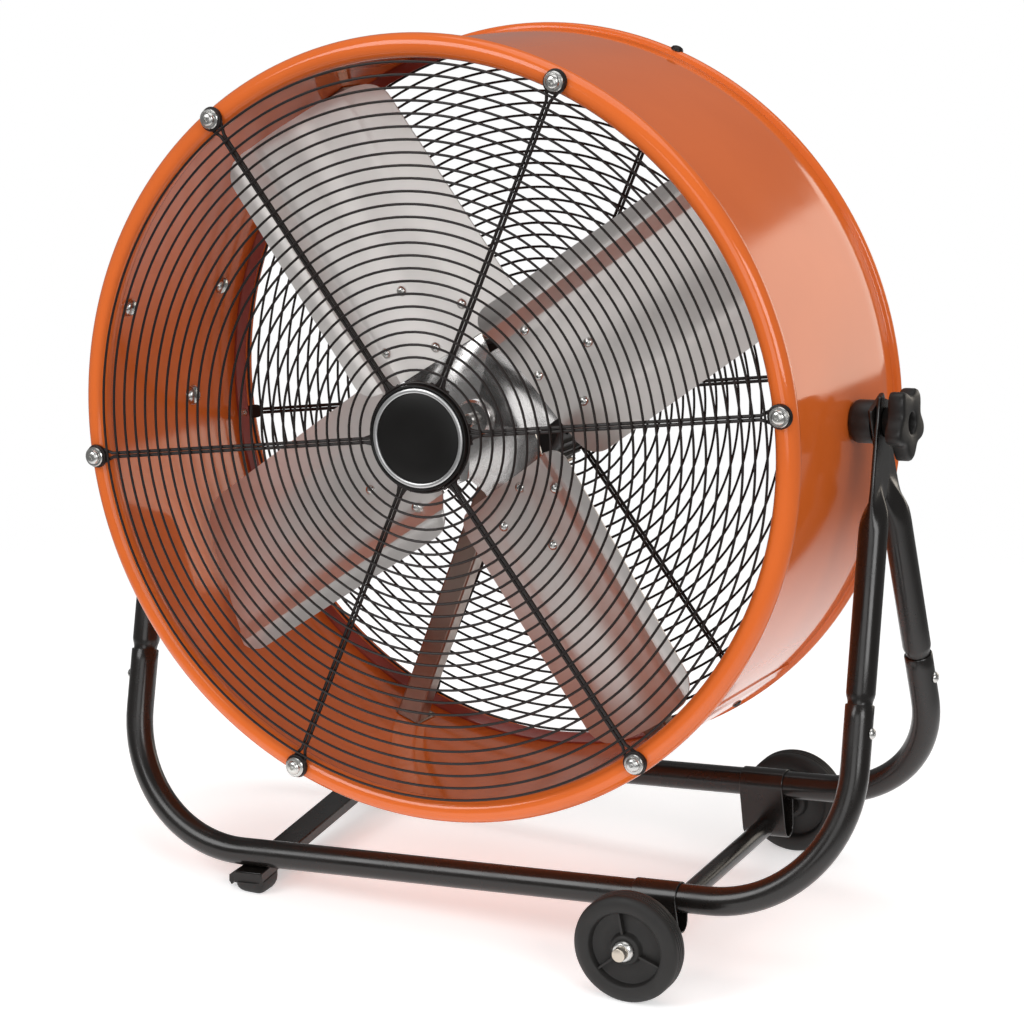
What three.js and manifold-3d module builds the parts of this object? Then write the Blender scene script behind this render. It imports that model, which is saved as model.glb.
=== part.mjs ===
// Tilting drum fan on a wheeled tube stand, in millimetres, +Z up.
// The drum blows towards -Y, the wheels stand at +X and the rubber feet at -X.
import * as THREE from 'three';
import * as BufferGeometryUtils from 'three/addons/utils/BufferGeometryUtils.js';
import Module from 'manifold-3d';

// ---- driving dimensions (mm, degrees) ----
const LEAN = 5.0;              // the wheels stand lower than the feet, so the stand leans by this much
const TILT = 3.97;             // drum nose-up at rest
const TUBE_R = 12.5;           // 25 mm stand tube
const TUBE_T = 1.5;
const PLUG_R = 10;           // swaged end of an upper leg
const LEG_X = 352.2;           // leg centre plane, either side
const FRONT_BAR = [-138.5, -390.3];   // y, z of the front floor bar below the pivot
const REAR_BAR = [108.2, -371.6];
const BEND_R = 115;
const JOINT_S = 237.6;         // pivot to the sleeve joint, along a leg
const PLUG_LEN = 32;
const AXLE_X = 183.7, AXLE_Z = -411.3, AXLE_TUBE_R = 7.8, ROD_R = 6;
const WHEEL_R = 47.7, WHEEL_W = 24, WHEEL_FRONT_Y = -216.2, WHEEL_REAR_Y = 163.6;
const FOOT_X = -217, FOOT_W = 28, FOOT_H = 9;
const GAP = 0.3;

const ROLL_R = 338.8;          // outside of the front roll
const ROLL_MIN = 10.4;
const WALL_R = 327.5, WALL_T = 1.6;
const HEM_R = 332.4, HEM_MIN = 4.2;
const DRUM_FRONT = -161.2, DRUM_REAR = 109.2;
const BOLT_CIRCLE = 328.6, BOLT_PHASE = 5.2;
const FLANGE_R = 316, FLANGE_Y = 80.4, FLANGE_T = 1.6, REAR_BOLTS = 320;   // inner ring that carries the rear guard
const RING_FIRST = 47.5, RING_PITCH = 11.1, RING_COUNT = 25, RING_STEP = 2;
const GUARD_T = 4.2;
const BADGE_R = 45.3;
const HUB_Y = -52;
const TIP_R = 308, BLADE_ROOT = 62, BLADE_T = 1.8;
const BLADE_ANGLES = [122.5, 32.5, -57.5, -147.5];
const MOTOR_R = 62, MOTOR_FRONT = -24, MOTOR_REAR = 80;
const STRUT_ANGLES = [-113, -67, 122.5];
const KNOB_R = 32.4;

const wasm = await Module();
wasm.setup();

const rad = THREE.MathUtils.degToRad;

function solid(geometry) {
  let g = geometry.clone();
  g.deleteAttribute('normal');
  g.deleteAttribute('uv');
  g = BufferGeometryUtils.mergeVertices(g, 1e-4);
  const vp = new Float32Array(g.attributes.position.array);
  const src = g.index.array, tri = [];
  for (let i = 0; i < src.length; i += 3) {
    if (src[i] !== src[i + 1] && src[i + 1] !== src[i + 2] && src[i] !== src[i + 2]) tri.push(src[i], src[i + 1], src[i + 2]);
  }
  return new wasm.Manifold(new wasm.Mesh({ numProp: 3, vertProperties: vp, triVerts: new Uint32Array(tri) }));
}
function geometryOf(manifold) {
  const m = manifold.getMesh();
  const g = new THREE.BufferGeometry();
  const n = m.numProp, count = m.vertProperties.length / n;
  const pos = new Float32Array(count * 3);
  for (let i = 0; i < count; i++) for (let k = 0; k < 3; k++) pos[i * 3 + k] = m.vertProperties[i * n + k];
  g.setAttribute('position', new THREE.BufferAttribute(pos, 3));
  g.setIndex(new THREE.BufferAttribute(new Uint32Array(m.triVerts), 1));
  return g;
}
function join(base, ...others) {
  let s = solid(base);
  for (const o of others) s = s.add(solid(o));
  return geometryOf(s);
}
function cut(base, ...tools) {
  let s = solid(base);
  for (const o of tools) s = s.subtract(solid(o));
  return geometryOf(s);
}

// ---- shape helpers ----
function ngon(r, n, phase = 0, cx = 0, cy = 0) {
  const p = [];
  for (let i = 0; i < n; i++) { const a = phase + (2 * Math.PI * i) / n; p.push(new THREE.Vector2(cx + r * Math.cos(a), cy + r * Math.sin(a))); }
  return p;
}
function plate(points, holes, depth) {
  const s = new THREE.Shape(points);
  for (const h of holes) s.holes.push(new THREE.Path(h));
  return new THREE.ExtrudeGeometry(s, { depth, bevelEnabled: false, steps: 1 });
}
// a cylinder along +X, +Y or +Z, from a to b on that axis
function rod(axis, r, a, b, n = 12, u = 0, v = 0) {
  const g = new THREE.CylinderGeometry(r, r, b - a, n, 1);
  const mid = (a + b) / 2;
  if (axis === 'x') { g.rotateZ(-Math.PI / 2); g.translate(mid, u, v); }
  if (axis === 'y') g.translate(u, mid, v);
  if (axis === 'z') { g.rotateX(Math.PI / 2); g.translate(u, v, mid); }
  return g;
}
function lathe(profile, n) {                    // profile of [radius, y], closed by its first point
  const p = profile.map(([r, y]) => new THREE.Vector2(r, y));
  p.push(p[0].clone());
  const g = new THREE.LatheGeometry(p, n);
  const s = solid(g);
  return s.volume() < 0 ? geometryOf(solid(flip(g))) : geometryOf(s);
}
function flip(g) {
  const h = g.clone(), ix = h.index.array;
  for (let i = 0; i < ix.length; i += 3) { const t = ix[i]; ix[i] = ix[i + 1]; ix[i + 1] = t; }
  return h;
}
function oriented(g) { return solid(g).volume() < 0 ? flip(g) : g; }
// a path given by its corner points, so that a step falls exactly on each of them
class Knots extends THREE.Curve {
  constructor(points) { super(); this.points = points; this.steps = points.length - 1; }
  getPoint(t, out = new THREE.Vector3()) {
    const f = Math.min(Math.max(t, 0), 1) * this.steps, i = Math.min(Math.floor(f + 1e-9), this.steps - 1);
    return out.copy(this.points[i]).lerp(this.points[i + 1], f - i);
  }
  getPointAt(u, out) { return this.getPoint(u, out); }
  getTangent(t, out = new THREE.Vector3()) {
    const i = Math.round(Math.min(Math.max(t, 0), 1) * this.steps);
    const a = this.points[Math.max(i - 1, 0)], b = this.points[Math.min(i + 1, this.steps)];
    return out.copy(b).sub(a).normalize();
  }
  getTangentAt(u, out) { return this.getTangent(u, out); }
}
function sweep(points, outline, hole) {
  const s = new THREE.Shape(outline);
  if (hole) s.holes.push(new THREE.Path(hole));
  const path = new Knots(points);
  return new THREE.ExtrudeGeometry(s, { steps: path.steps, extrudePath: path, bevelEnabled: false });
}

// ---- materials ----
const paint = (color, roughness, metalness = 0) => new THREE.MeshStandardMaterial({ color, roughness, metalness });
const orange = () => paint(0xd8632c, 0.32);
const black = () => paint(0x161413, 0.28);
const plasticBlack = () => paint(0x1b1a19, 0.55);
const rubber = () => paint(0x151414, 0.8);
const zinc = () => paint(0xc4c6c8, 0.3, 0.9);
const aluminium = () => paint(0xb9b6b2, 0.35, 0.9);
const sheetSteel = () => paint(0x8f8982, 0.4, 0.8);
const wire = () => paint(0x131211, 0.35);

const fan = new THREE.Group();
const stand = new THREE.Group();
const drum = new THREE.Group();
fan.add(stand);
stand.add(drum);
stand.rotation.y = -rad(LEAN);
drum.rotation.x = -rad(TILT);

function put(parent, name, geometry, material) {
  const m = new THREE.Mesh(geometry, material);
  m.name = name;
  parent.add(m);
  return m;
}

// ======== stand ========
// a floor frame: one tube with two big bends, in a plane through the pivot axis
function floorFrame([by, bz]) {
  const L = Math.hypot(by, bz), u = new THREE.Vector3(0, by / L, bz / L);
  const at = (x, s) => new THREE.Vector3(x, u.y * s, u.z * s);
  const pts = [at(LEG_X, JOINT_S + GAP), at(LEG_X, JOINT_S + PLUG_LEN + 6)];
  for (let i = 0; i <= 5; i++) { const a = (Math.PI / 2) * (i / 5); pts.push(at(LEG_X - BEND_R + BEND_R * Math.cos(a), L - BEND_R + BEND_R * Math.sin(a))); }
  for (let i = 0; i <= 5; i++) { const a = (Math.PI / 2) * (i / 5); pts.push(at(-LEG_X + BEND_R - BEND_R * Math.sin(a), L - BEND_R + BEND_R * Math.cos(a))); }
  pts.push(at(-LEG_X, JOINT_S + PLUG_LEN + 6), at(-LEG_X, JOINT_S + GAP));
  const g = sweep(pts, ngon(TUBE_R, 12, rad(15)), ngon(TUBE_R - TUBE_T + 0.2, 8, rad(22.5)));
  const s = JOINT_S + 24;
  const hole = (sx) => { const c = at(0, s); const a = rod('x', 2.6, LEG_X, LEG_X + TUBE_R + 4, 6, c.y, c.z); if (sx < 0) a.rotateZ(Math.PI), a.translate(0, 2 * c.y, 0); return a; };
  return cut(g, hole(1), hole(-1));
}
put(stand, 'floor_frame_front', floorFrame(FRONT_BAR), black());
put(stand, 'floor_frame_rear', floorFrame(REAR_BAR), black());

// an upper leg: flattened at the pivot, swaged at its lower end
function upperLeg([by, bz], side, offset) {
  const L = Math.hypot(by, bz), a = Math.atan2(by, -bz);          // swing of the leg from straight down
  // station: distance below the pivot, half width, half thickness, squareness, sideways offset
  const st = [[-18, 15, 1.9, 0.35, offset], [-14, 18, 1.9, 0.35, offset], [52, 18, 1.9, 0.35, offset], [66, 15.8, 6.2, 0.6, offset * 0.5], [84, 13.2, 11.2, 0.9, 0], [96, TUBE_R, TUBE_R, 1, 0],
    [JOINT_S - 6, TUBE_R, TUBE_R, 1, 0], [JOINT_S - 1.2, PLUG_R, PLUG_R, 1, 0], [JOINT_S + PLUG_LEN, PLUG_R, PLUG_R, 1, 0]];
  const n = 12, g = new THREE.CylinderGeometry(1, 1, 1, n, st.length - 1);
  const p = g.attributes.position;
  for (let i = 0; i < p.count; i++) {
    const row = Math.round((0.5 - p.getY(i)) * (st.length - 1)), [s, w, t, q, off] = st[row];
    const x = p.getX(i), z = p.getZ(i), r = Math.hypot(x, z);
    let cx = 0, cw = 0;
    if (r > 1e-6) { const f = Math.atan2(z, x) + rad(15); const c = Math.cos(f), d = Math.sin(f); cx = Math.sign(c) * Math.abs(c) ** q; cw = Math.sign(d) * Math.abs(d) ** q; }
    p.setXYZ(i, side * (LEG_X + off) + cx * t, cw * w, -s);
  }
  g.rotateX(a);
  const c = new THREE.Vector3(0, (by / L) * (JOINT_S + 24), (bz / L) * (JOINT_S + 24));
  const bore = rod('x', 4.5, LEG_X - 12, LEG_X + 12, 8);
  const pilot = rod('x', 2.6, LEG_X + 3, LEG_X + 20, 6);
  if (side < 0) { bore.rotateZ(Math.PI); pilot.rotateZ(Math.PI); }
  pilot.translate(0, c.y, c.z);
  return cut(oriented(g), bore, pilot);
}
put(stand, 'leg_front_right', upperLeg(FRONT_BAR, 1, 2.15), black());
put(stand, 'leg_front_left', upperLeg(FRONT_BAR, -1, 2.15), black());
put(stand, 'leg_rear_right', upperLeg(REAR_BAR, 1, -2.15), black());
put(stand, 'leg_rear_left', upperLeg(REAR_BAR, -1, -2.15), black());

function legScrew([by, bz], side) {
  const L = Math.hypot(by, bz), s = JOINT_S + 24, y = (by / L) * s, z = (bz / L) * s;
  const g = join(rod('x', 5, LEG_X + TUBE_R + 0.1, LEG_X + TUBE_R + 3.2, 8), rod('x', 2.2, LEG_X + 5, LEG_X + TUBE_R + 2, 6));
  if (side < 0) g.rotateZ(Math.PI);
  g.translate(0, y, z);
  return g;
}
put(stand, 'leg_screw_front_right', legScrew(FRONT_BAR, 1), zinc());
put(stand, 'leg_screw_front_left', legScrew(FRONT_BAR, -1), zinc());
put(stand, 'leg_screw_rear_right', legScrew(REAR_BAR, 1), zinc());
put(stand, 'leg_screw_rear_left', legScrew(REAR_BAR, -1), zinc());

// axle: a tube across under both floor bars, with turned-down ends for the wheels
const TUBE_END_F = WHEEL_FRONT_Y + WHEEL_W + 0.8, TUBE_END_R = WHEEL_REAR_Y - 0.8;
const ROD_END_F = WHEEL_FRONT_Y - 11, ROD_END_R = WHEEL_REAR_Y + WHEEL_W + 11;
const axle = lathe([[0, ROD_END_F], [ROD_R - 1, ROD_END_F], [ROD_R, ROD_END_F + 1], [ROD_R, TUBE_END_F], [AXLE_TUBE_R, TUBE_END_F], [AXLE_TUBE_R, TUBE_END_R], [ROD_R, TUBE_END_R], [ROD_R, ROD_END_R - 1], [ROD_R - 1, ROD_END_R], [0, ROD_END_R]], 14);
axle.translate(AXLE_X, 0, AXLE_Z);
put(stand, 'axle', axle, black());

// strap brackets that hold the axle under the floor bars
function hull2(y1, z1, r1, y2, z2, r2, n) {     // outline round two circles, one above the other
  const dy = y2 - y1, dz = z2 - z1, d = Math.hypot(dy, dz), dir = Math.atan2(dz, dy), k = Math.acos((r1 - r2) / d);
  const p = [];
  for (let i = 0; i <= n; i++) { const a = dir + k + ((2 * Math.PI - 2 * k) * i) / n; p.push(new THREE.Vector2(y1 + r1 * Math.cos(a), z1 + r1 * Math.sin(a))); }
  for (let i = 0; i <= n; i++) { const a = dir - k + (2 * k * i) / n; p.push(new THREE.Vector2(y2 + r2 * Math.cos(a), z2 + r2 * Math.sin(a))); }
  return p;
}
function bracket([by, bz]) {
  const g = plate(hull2(by, bz, TUBE_R + 3.2, by, AXLE_Z, AXLE_TUBE_R + 2.8, 7), [hull2(by, bz, (TUBE_R + GAP) * 1.035, by, AXLE_Z, (AXLE_TUBE_R + GAP) * 1.035, 7)], 36);
  // the outline lies in (y, z); turn it so that the thickness runs along X
  const m = new THREE.Matrix4().set(0, 0, 1, AXLE_X - 18, 1, 0, 0, 0, 0, 1, 0, 0, 0, 0, 0, 1);
  g.applyMatrix4(m);
  return cut(g, rod('y', (AXLE_TUBE_R + GAP) * 1.03, by - 30, by + 30, 14, AXLE_X, AXLE_Z));
}
put(stand, 'axle_bracket_front', bracket(FRONT_BAR), black());
put(stand, 'axle_bracket_rear', bracket(REAR_BAR), black());

function wheel(face) {                          // face: y of the side away from the stand's middle line is symmetric here
  const a = face, b = face + WHEEL_W, m = (a + b) / 2, R = WHEEL_R;
  const g = lathe([[ROD_R + 0.4, a + 1], [12.5, a + 1], [14.5, a + 7.5], [31, a + 7.5], [33.5, a + 0.6], [38, a], [R - 3.5, a + 1.2], [R, a + 5], [R, b - 5], [R - 3.5, b - 1.2], [38, b], [33.5, b - 0.6], [31, b - 7.5], [14.5, b - 7.5], [12.5, b - 0.3], [ROD_R + 0.4, b - 0.3]], 22);
  g.translate(AXLE_X, 0, AXLE_Z);
  return g;
}
put(stand, 'wheel_front', wheel(WHEEL_FRONT_Y), rubber());
put(stand, 'wheel_rear', wheel(WHEEL_REAR_Y), rubber());
function pushNut(y0, dir) {
  const y = (d) => y0 + dir * d;
  const g = lathe([[ROD_R + 0.2, y(0.3)], [10.5, y(0.3)], [10, y(2.2)], [7.8, y(4.4)], [ROD_R + 0.2, y(4.4)]], 14);
  g.translate(AXLE_X, 0, AXLE_Z);
  return g;
}
put(stand, 'axle_nut_front', pushNut(WHEEL_FRONT_Y + 0.6, -1), zinc());
put(stand, 'axle_nut_rear', pushNut(WHEEL_REAR_Y + WHEEL_W, 1), zinc());

// foot bar: a channel across under both floor bars at the other end, with a rubber pad at each end
const FB_DY = REAR_BAR[0] - FRONT_BAR[0], FB_DZ = REAR_BAR[1] - FRONT_BAR[1], FB_A = Math.atan2(FB_DZ, FB_DY), FB_L = Math.hypot(FB_DY, FB_DZ);
const FB_FRONT = -16, FB_REAR = FB_L + 22;
const channel = plate([[-14, 0], [14, 0], [14, -FOOT_H], [12, -FOOT_H], [12, -2], [-12, -2], [-12, -FOOT_H], [-14, -FOOT_H]].map(([x, z]) => new THREE.Vector2(x, z)), [], FB_REAR - FB_FRONT);
// channel outline lies in (x, z), depth along the bar
channel.applyMatrix4(new THREE.Matrix4().set(1, 0, 0, 0, 0, 0, -1, 0, 0, 1, 0, 0, 0, 0, 0, 1));
channel.translate(0, FB_REAR, 0);
channel.translate(0, 0, -TUBE_R - GAP);
channel.rotateX(FB_A);
channel.translate(FOOT_X, FRONT_BAR[0], FRONT_BAR[1]);
put(stand, 'foot_bar', geometryOf(solid(channel)), black());

// the floor, seen in the stand's own tilted frame
const FLOOR = AXLE_X * Math.sin(rad(LEAN)) + AXLE_Z * Math.cos(rad(LEAN)) - WHEEL_R;   // height of the floor under the pivot
const floorZ = (x) => (FLOOR - x * Math.sin(rad(LEAN))) / Math.cos(rad(LEAN));
function footPad(s0, s1) {
  const g = new THREE.BoxGeometry(1, 1, 1, 1, 1, 1), p = g.attributes.position;
  const y0 = FRONT_BAR[0] + s0 * Math.cos(FB_A), y1 = FRONT_BAR[0] + s1 * Math.cos(FB_A);
  for (let i = 0; i < p.count; i++) {
    const top = p.getZ(i) > 0, x = FOOT_X + (p.getX(i) > 0 ? 1 : -1) * (top ? 15 : 13.5), y = p.getY(i) > 0 ? y1 : y0;
    const zBar = FRONT_BAR[1] - (TUBE_R + GAP + FOOT_H + GAP) / Math.cos(FB_A) + (y - FRONT_BAR[0]) * Math.tan(FB_A);
    p.setXYZ(i, x, y, top ? zBar : floorZ(x));
  }
  return geometryOf(solid(g));
}
put(stand, 'foot_pad_front', footPad(FB_FRONT - 2, FB_FRONT + 34), rubber());
put(stand, 'foot_pad_rear', footPad(FB_REAR - 34, FB_REAR + 2), rubber());

// ======== tilt pivots ========
const SP0 = WALL_R + 0.5, SP1 = LEG_X - 2.15 - 1.9 - GAP;
const mirrorX = (g, side) => { if (side < 0) g.rotateZ(Math.PI); return g; };
for (const [side, tag] of [[1, 'right'], [-1, 'left']]) {
  put(drum, 'pivot_spacer_' + tag, mirrorX(cut(rod('x', 18.5, SP0, SP1, 20), rod('x', 4.4, SP0 - 1, SP1 + 1, 8)), side), plasticBlack());
  put(drum, 'pivot_bolt_' + tag, mirrorX(join(rod('x', 9, WALL_R - WALL_T - 5, WALL_R - WALL_T - 0.6, 10), rod('x', 4, WALL_R - WALL_T - 2, LEG_X + 20, 8)), side), zinc());
  const star = [];
  for (let i = 0; i < 40; i++) { const t = (2 * Math.PI * i) / 40, c = Math.cos(5 * t); star.push(new THREE.Vector2((KNOB_R - 4.6 + 4.6 * c) * Math.cos(t), (KNOB_R - 4.6 + 4.6 * c) * Math.sin(t))); }
  const disc = plate(star, [], 15);
  disc.rotateY(Math.PI / 2);
  disc.translate(LEG_X + 13.5, 0, 0);
  const body = join(disc, rod('x', 12.7, LEG_X + 4.4, LEG_X + 14, 14));
  put(drum, 'knob_' + tag, mirrorX(cut(body, rod('x', 4.4, LEG_X, LEG_X + 21, 8), rod('x', 9, LEG_X + 24.5, LEG_X + 40, 12)), side), plasticBlack());
}

// ======== drum ========
function arc(cr, cy, r, a0, a1, n) {
  const p = [];
  for (let i = 0; i <= n; i++) { const a = rad(a0 + ((a1 - a0) * i) / n); p.push([cr + r * Math.cos(a), cy + r * Math.sin(a)]); }
  return p;
}
// wall, with an open roll at the front, a small hem at the rear and a narrow ring inside near the rear; angles run from +radius towards +Y
const ROLL_C = [ROLL_R - ROLL_MIN, DRUM_FRONT + ROLL_MIN], HEM_C = [HEM_R - HEM_MIN, DRUM_REAR - HEM_MIN];
const shellProfile = [
  ...arc(...ROLL_C, ROLL_MIN - WALL_T, 428, 110, 6).filter((p, i) => i < 6),
  [WALL_R - WALL_T / 2 + WALL_T / 2, ROLL_C[1] + ROLL_MIN - 0.4],
  [WALL_R, HEM_C[1] - HEM_MIN + 0.6],
  ...arc(...HEM_C, HEM_MIN - 1.3, -105 + 360 - 10, -75 + 0, 4).filter((p, i) => i > 0),
  ...arc(...HEM_C, HEM_MIN, -75, 245, 5).filter((p, i) => i < 5),
  [WALL_R - WALL_T, HEM_C[1] - HEM_MIN + 0.2],
  [WALL_R - WALL_T, FLANGE_Y + FLANGE_T],
  [FLANGE_R, FLANGE_Y + FLANGE_T],
  [FLANGE_R, FLANGE_Y],
  [WALL_R - WALL_T, FLANGE_Y],
  [WALL_R - WALL_T, ROLL_C[1] + ROLL_MIN + 0.6],
  ...arc(...ROLL_C, ROLL_MIN, 118, 428, 7),
];
let shell = lathe(shellProfile, 48);
const holes = [];
for (let i = 0; i < 6; i++) {
  const a = rad(BOLT_PHASE + 60 * i), x = BOLT_CIRCLE * Math.cos(a), z = BOLT_CIRCLE * Math.sin(a);
  holes.push(rod('y', 2.9, DRUM_FRONT - 5, DRUM_FRONT + 6, 6, x, z));
  holes.push(rod('y', 2.1, FLANGE_Y - 4, FLANGE_Y + 6, 6, REAR_BOLTS * Math.cos(a), REAR_BOLTS * Math.sin(a)));
}
holes.push(rod('x', 4.6, WALL_R - 12, WALL_R + 12, 8), rod('x', 4.6, -WALL_R - 12, -WALL_R + 12, 8));
const HANDLE_A = 162.5, HANDLE_Y = [-121, 37];
for (const y of HANDLE_Y) { const h = rod('x', 3.4, WALL_R - 12, WALL_R + 12, 6); h.rotateY(-rad(HANDLE_A)); h.translate(0, y, 0); holes.push(h); }
put(drum, 'drum_shell', cut(shell, ...holes), orange());

// ======== guards: rings and double spokes in one flat grille ========
function grille(bolts, h, bore) {                // bolt circle, radius of an eyelet and of its bore
  const out = [], inner = [];
  const ring = (i) => RING_FIRST + RING_PITCH * i;
  const R = ring(RING_COUNT - 1) + 1.5, n = 5;
  for (let k = 0; k < 6; k++) {
    const c = BOLT_PHASE + 60 * k, ta = (Math.asin(h / R) * 180) / Math.PI;
    // eyelet round the screw, then the rim to the next one
    const ex = bolts * Math.cos(rad(c)), ez = bolts * Math.sin(rad(c));
    for (let i = 0; i <= 6; i++) { const a = rad(c - 90 + 30 * i); out.push(new THREE.Vector2(ex + h * Math.cos(a), ez + h * Math.sin(a))); }
    for (let i = 0; i <= n; i++) { const a = rad(c + ta + ((60 - 2 * ta) * i) / n); out.push(new THREE.Vector2(R * Math.cos(a), R * Math.sin(a))); }
    inner.push(ngon(bore, 6, 0, ex, ez));
    for (let g = 0; g + RING_STEP < RING_COUNT; g += RING_STEP) {
      const a0 = ring(g) + (g === 0 ? 2.5 : 1.5), a1 = ring(g + RING_STEP) - 1.5, m = g < 6 ? 2 : 4, hole = [];
      const w0 = (Math.asin(5 / a0) * 180) / Math.PI, w1 = (Math.asin(5 / a1) * 180) / Math.PI;
      for (let i = 0; i <= m; i++) { const a = rad(c + w1 + ((60 - 2 * w1) * i) / m); hole.push(new THREE.Vector2(a1 * Math.cos(a), a1 * Math.sin(a))); }
      for (let i = m; i >= 0; i--) { const a = rad(c + w0 + ((60 - 2 * w0) * i) / m); hole.push(new THREE.Vector2(a0 * Math.cos(a), a0 * Math.sin(a))); }
      inner.push(hole);
    }
  }
  const g = plate(out, inner, GUARD_T);
  g.rotateX(Math.PI / 2);          // (x, y) of the outline becomes (x, z), the thickness runs to -Y
  return g;
}
const frontGuard = grille(BOLT_CIRCLE, 9.3, 2.9);
frontGuard.translate(0, DRUM_FRONT - 0.4, 0);
put(drum, 'front_guard', geometryOf(solid(frontGuard)), wire());
const REAR_GUARD = FLANGE_Y + FLANGE_T + 0.4;     // front face of the rear guard, behind the ring inside the wall
const rearGuard = grille(REAR_BOLTS, 4.7, 2.1);
rearGuard.translate(0, REAR_GUARD + GUARD_T, 0);
put(drum, 'rear_guard', geometryOf(solid(rearGuard)), wire());

for (let i = 0; i < 6; i++) {
  const a = rad(BOLT_PHASE + 60 * i), x = BOLT_CIRCLE * Math.cos(a), z = BOLT_CIRCLE * Math.sin(a);
  const f = DRUM_FRONT - 0.4 - GUARD_T - 0.3;
  put(drum, 'guard_screw_front_' + (i + 1), join(rod('y', 8, f - 1.6, f, 10, x, z), rod('y', 5, f - 5.2, f - 1, 6, x, z), rod('y', 2.4, f - 1, DRUM_FRONT + 5, 6, x, z)), zinc());
  const b = REAR_GUARD + GUARD_T + 0.3, xr = REAR_BOLTS * Math.cos(a), zr = REAR_BOLTS * Math.sin(a);
  put(drum, 'guard_screw_rear_' + (i + 1), join(rod('y', 4.5, b, b + 1.4, 10, xr, zr), rod('y', 3.4, b + 1, b + 4.2, 6, xr, zr), rod('y', 1.7, FLANGE_Y - 3.4, b + 1, 6, xr, zr)), zinc());
}

// badge: black dished disc with a plain bright ring
const BY = DRUM_FRONT - 0.4 - GUARD_T - 0.3;
put(drum, 'badge_disc', lathe([[0, BY], [0, BY - 4.2], [36.8, BY - 4.2], [36.8, BY - 3], [41.4, BY - 3], [41.4, BY - 5], [BADGE_R - 1.5, BY - 5], [BADGE_R, BY - 3.4], [BADGE_R, BY]], 32), plasticBlack());
put(drum, 'badge_ring', lathe([[37.3, BY - 3.3], [37.3, BY - 5.2], [39.1, BY - 6], [40.9, BY - 5.2], [40.9, BY - 3.3]], 32), zinc());

// carrying handle on the outside of the drum, at the foot end
{
  const A = rad(HANDLE_A), o = (r, y) => new THREE.Vector3(r * Math.cos(A), y, r * Math.sin(A));
  const bar = sweep([o(WALL_R + 9, -116), o(WALL_R + 22, -108), o(WALL_R + 31, -94), o(WALL_R + 33, -76), o(WALL_R + 33, -8), o(WALL_R + 31, 10), o(WALL_R + 22, 24), o(WALL_R + 9, 32)], ngon(5.5, 8, rad(22.5)));
  const foot = (y) => { const g = new THREE.BoxGeometry(10, 26, 20); g.translate(WALL_R + 6, 0, 0); g.rotateY(-A); g.translate(0, y, 0); return g; };
  const boreAt = (y) => { const g = rod('x', 3.4, WALL_R - 2, WALL_R + 8, 6); g.rotateY(-A); g.translate(0, y, 0); return g; };
  put(drum, 'carry_handle', cut(join(bar, foot(HANDLE_Y[0]), foot(HANDLE_Y[1])), boreAt(HANDLE_Y[0]), boreAt(HANDLE_Y[1])), plasticBlack());
  HANDLE_Y.forEach((y, i) => {
    const g = join(rod('x', 8, WALL_R - WALL_T - 6.2, WALL_R - WALL_T - 1.6, 8), rod('x', 2.9, WALL_R - WALL_T - 2, WALL_R + 7, 6));
    g.rotateY(-A); g.translate(0, y, 0);
    put(drum, 'handle_bolt_' + (i ? 'rear' : 'front'), g, zinc());
  });
}

// ======== motor and its struts ========
put(drum, 'motor_housing', cut(lathe([[0, MOTOR_REAR], [0, MOTOR_FRONT], [20, MOTOR_FRONT], [22, MOTOR_FRONT + 5], [50, MOTOR_FRONT + 9], [MOTOR_R, MOTOR_FRONT + 20], [MOTOR_R, MOTOR_REAR - 14], [52, MOTOR_REAR - 4], [30, MOTOR_REAR]], 28), rod('y', 6.4, MOTOR_FRONT - 5, MOTOR_FRONT + 20, 10)), plasticBlack());
STRUT_ANGLES.forEach((deg, i) => {
  const r0 = MOTOR_R + 0.6, r1 = WALL_R - WALL_T - 1.6;
  // an angle section, its web facing the blades, its flange running back; built along +X then turned
  const web = new THREE.BoxGeometry(r1 - r0 - 5, 2.5, 21); web.translate((r0 + 5 + r1) / 2, 27.5, 0);
  const flange = new THREE.BoxGeometry(r1 - r0 - 5, 17, 2.5); flange.translate((r0 + 5 + r1) / 2, 35, -9.2);
  const footW = new THREE.BoxGeometry(2.5, 32, 26); footW.translate(r1 - 1.25, 42, 0);
  const footM = new THREE.BoxGeometry(2.5, 34, 26); footM.translate(r0 + 5, 42, 0);
  const pad = new THREE.BoxGeometry(5.4, 22, 16); pad.translate(r0 + 2.9, 44, 0);
  const g = join(web, flange, footW, footM, pad);
  g.rotateY(-rad(deg));
  put(drum, 'motor_strut_' + (i + 1), g, sheetSteel());
});

// ======== fan wheel ========
put(drum, 'motor_shaft', rod('y', 5.9, HUB_Y - 26, MOTOR_FRONT + 18, 10), zinc());
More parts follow.
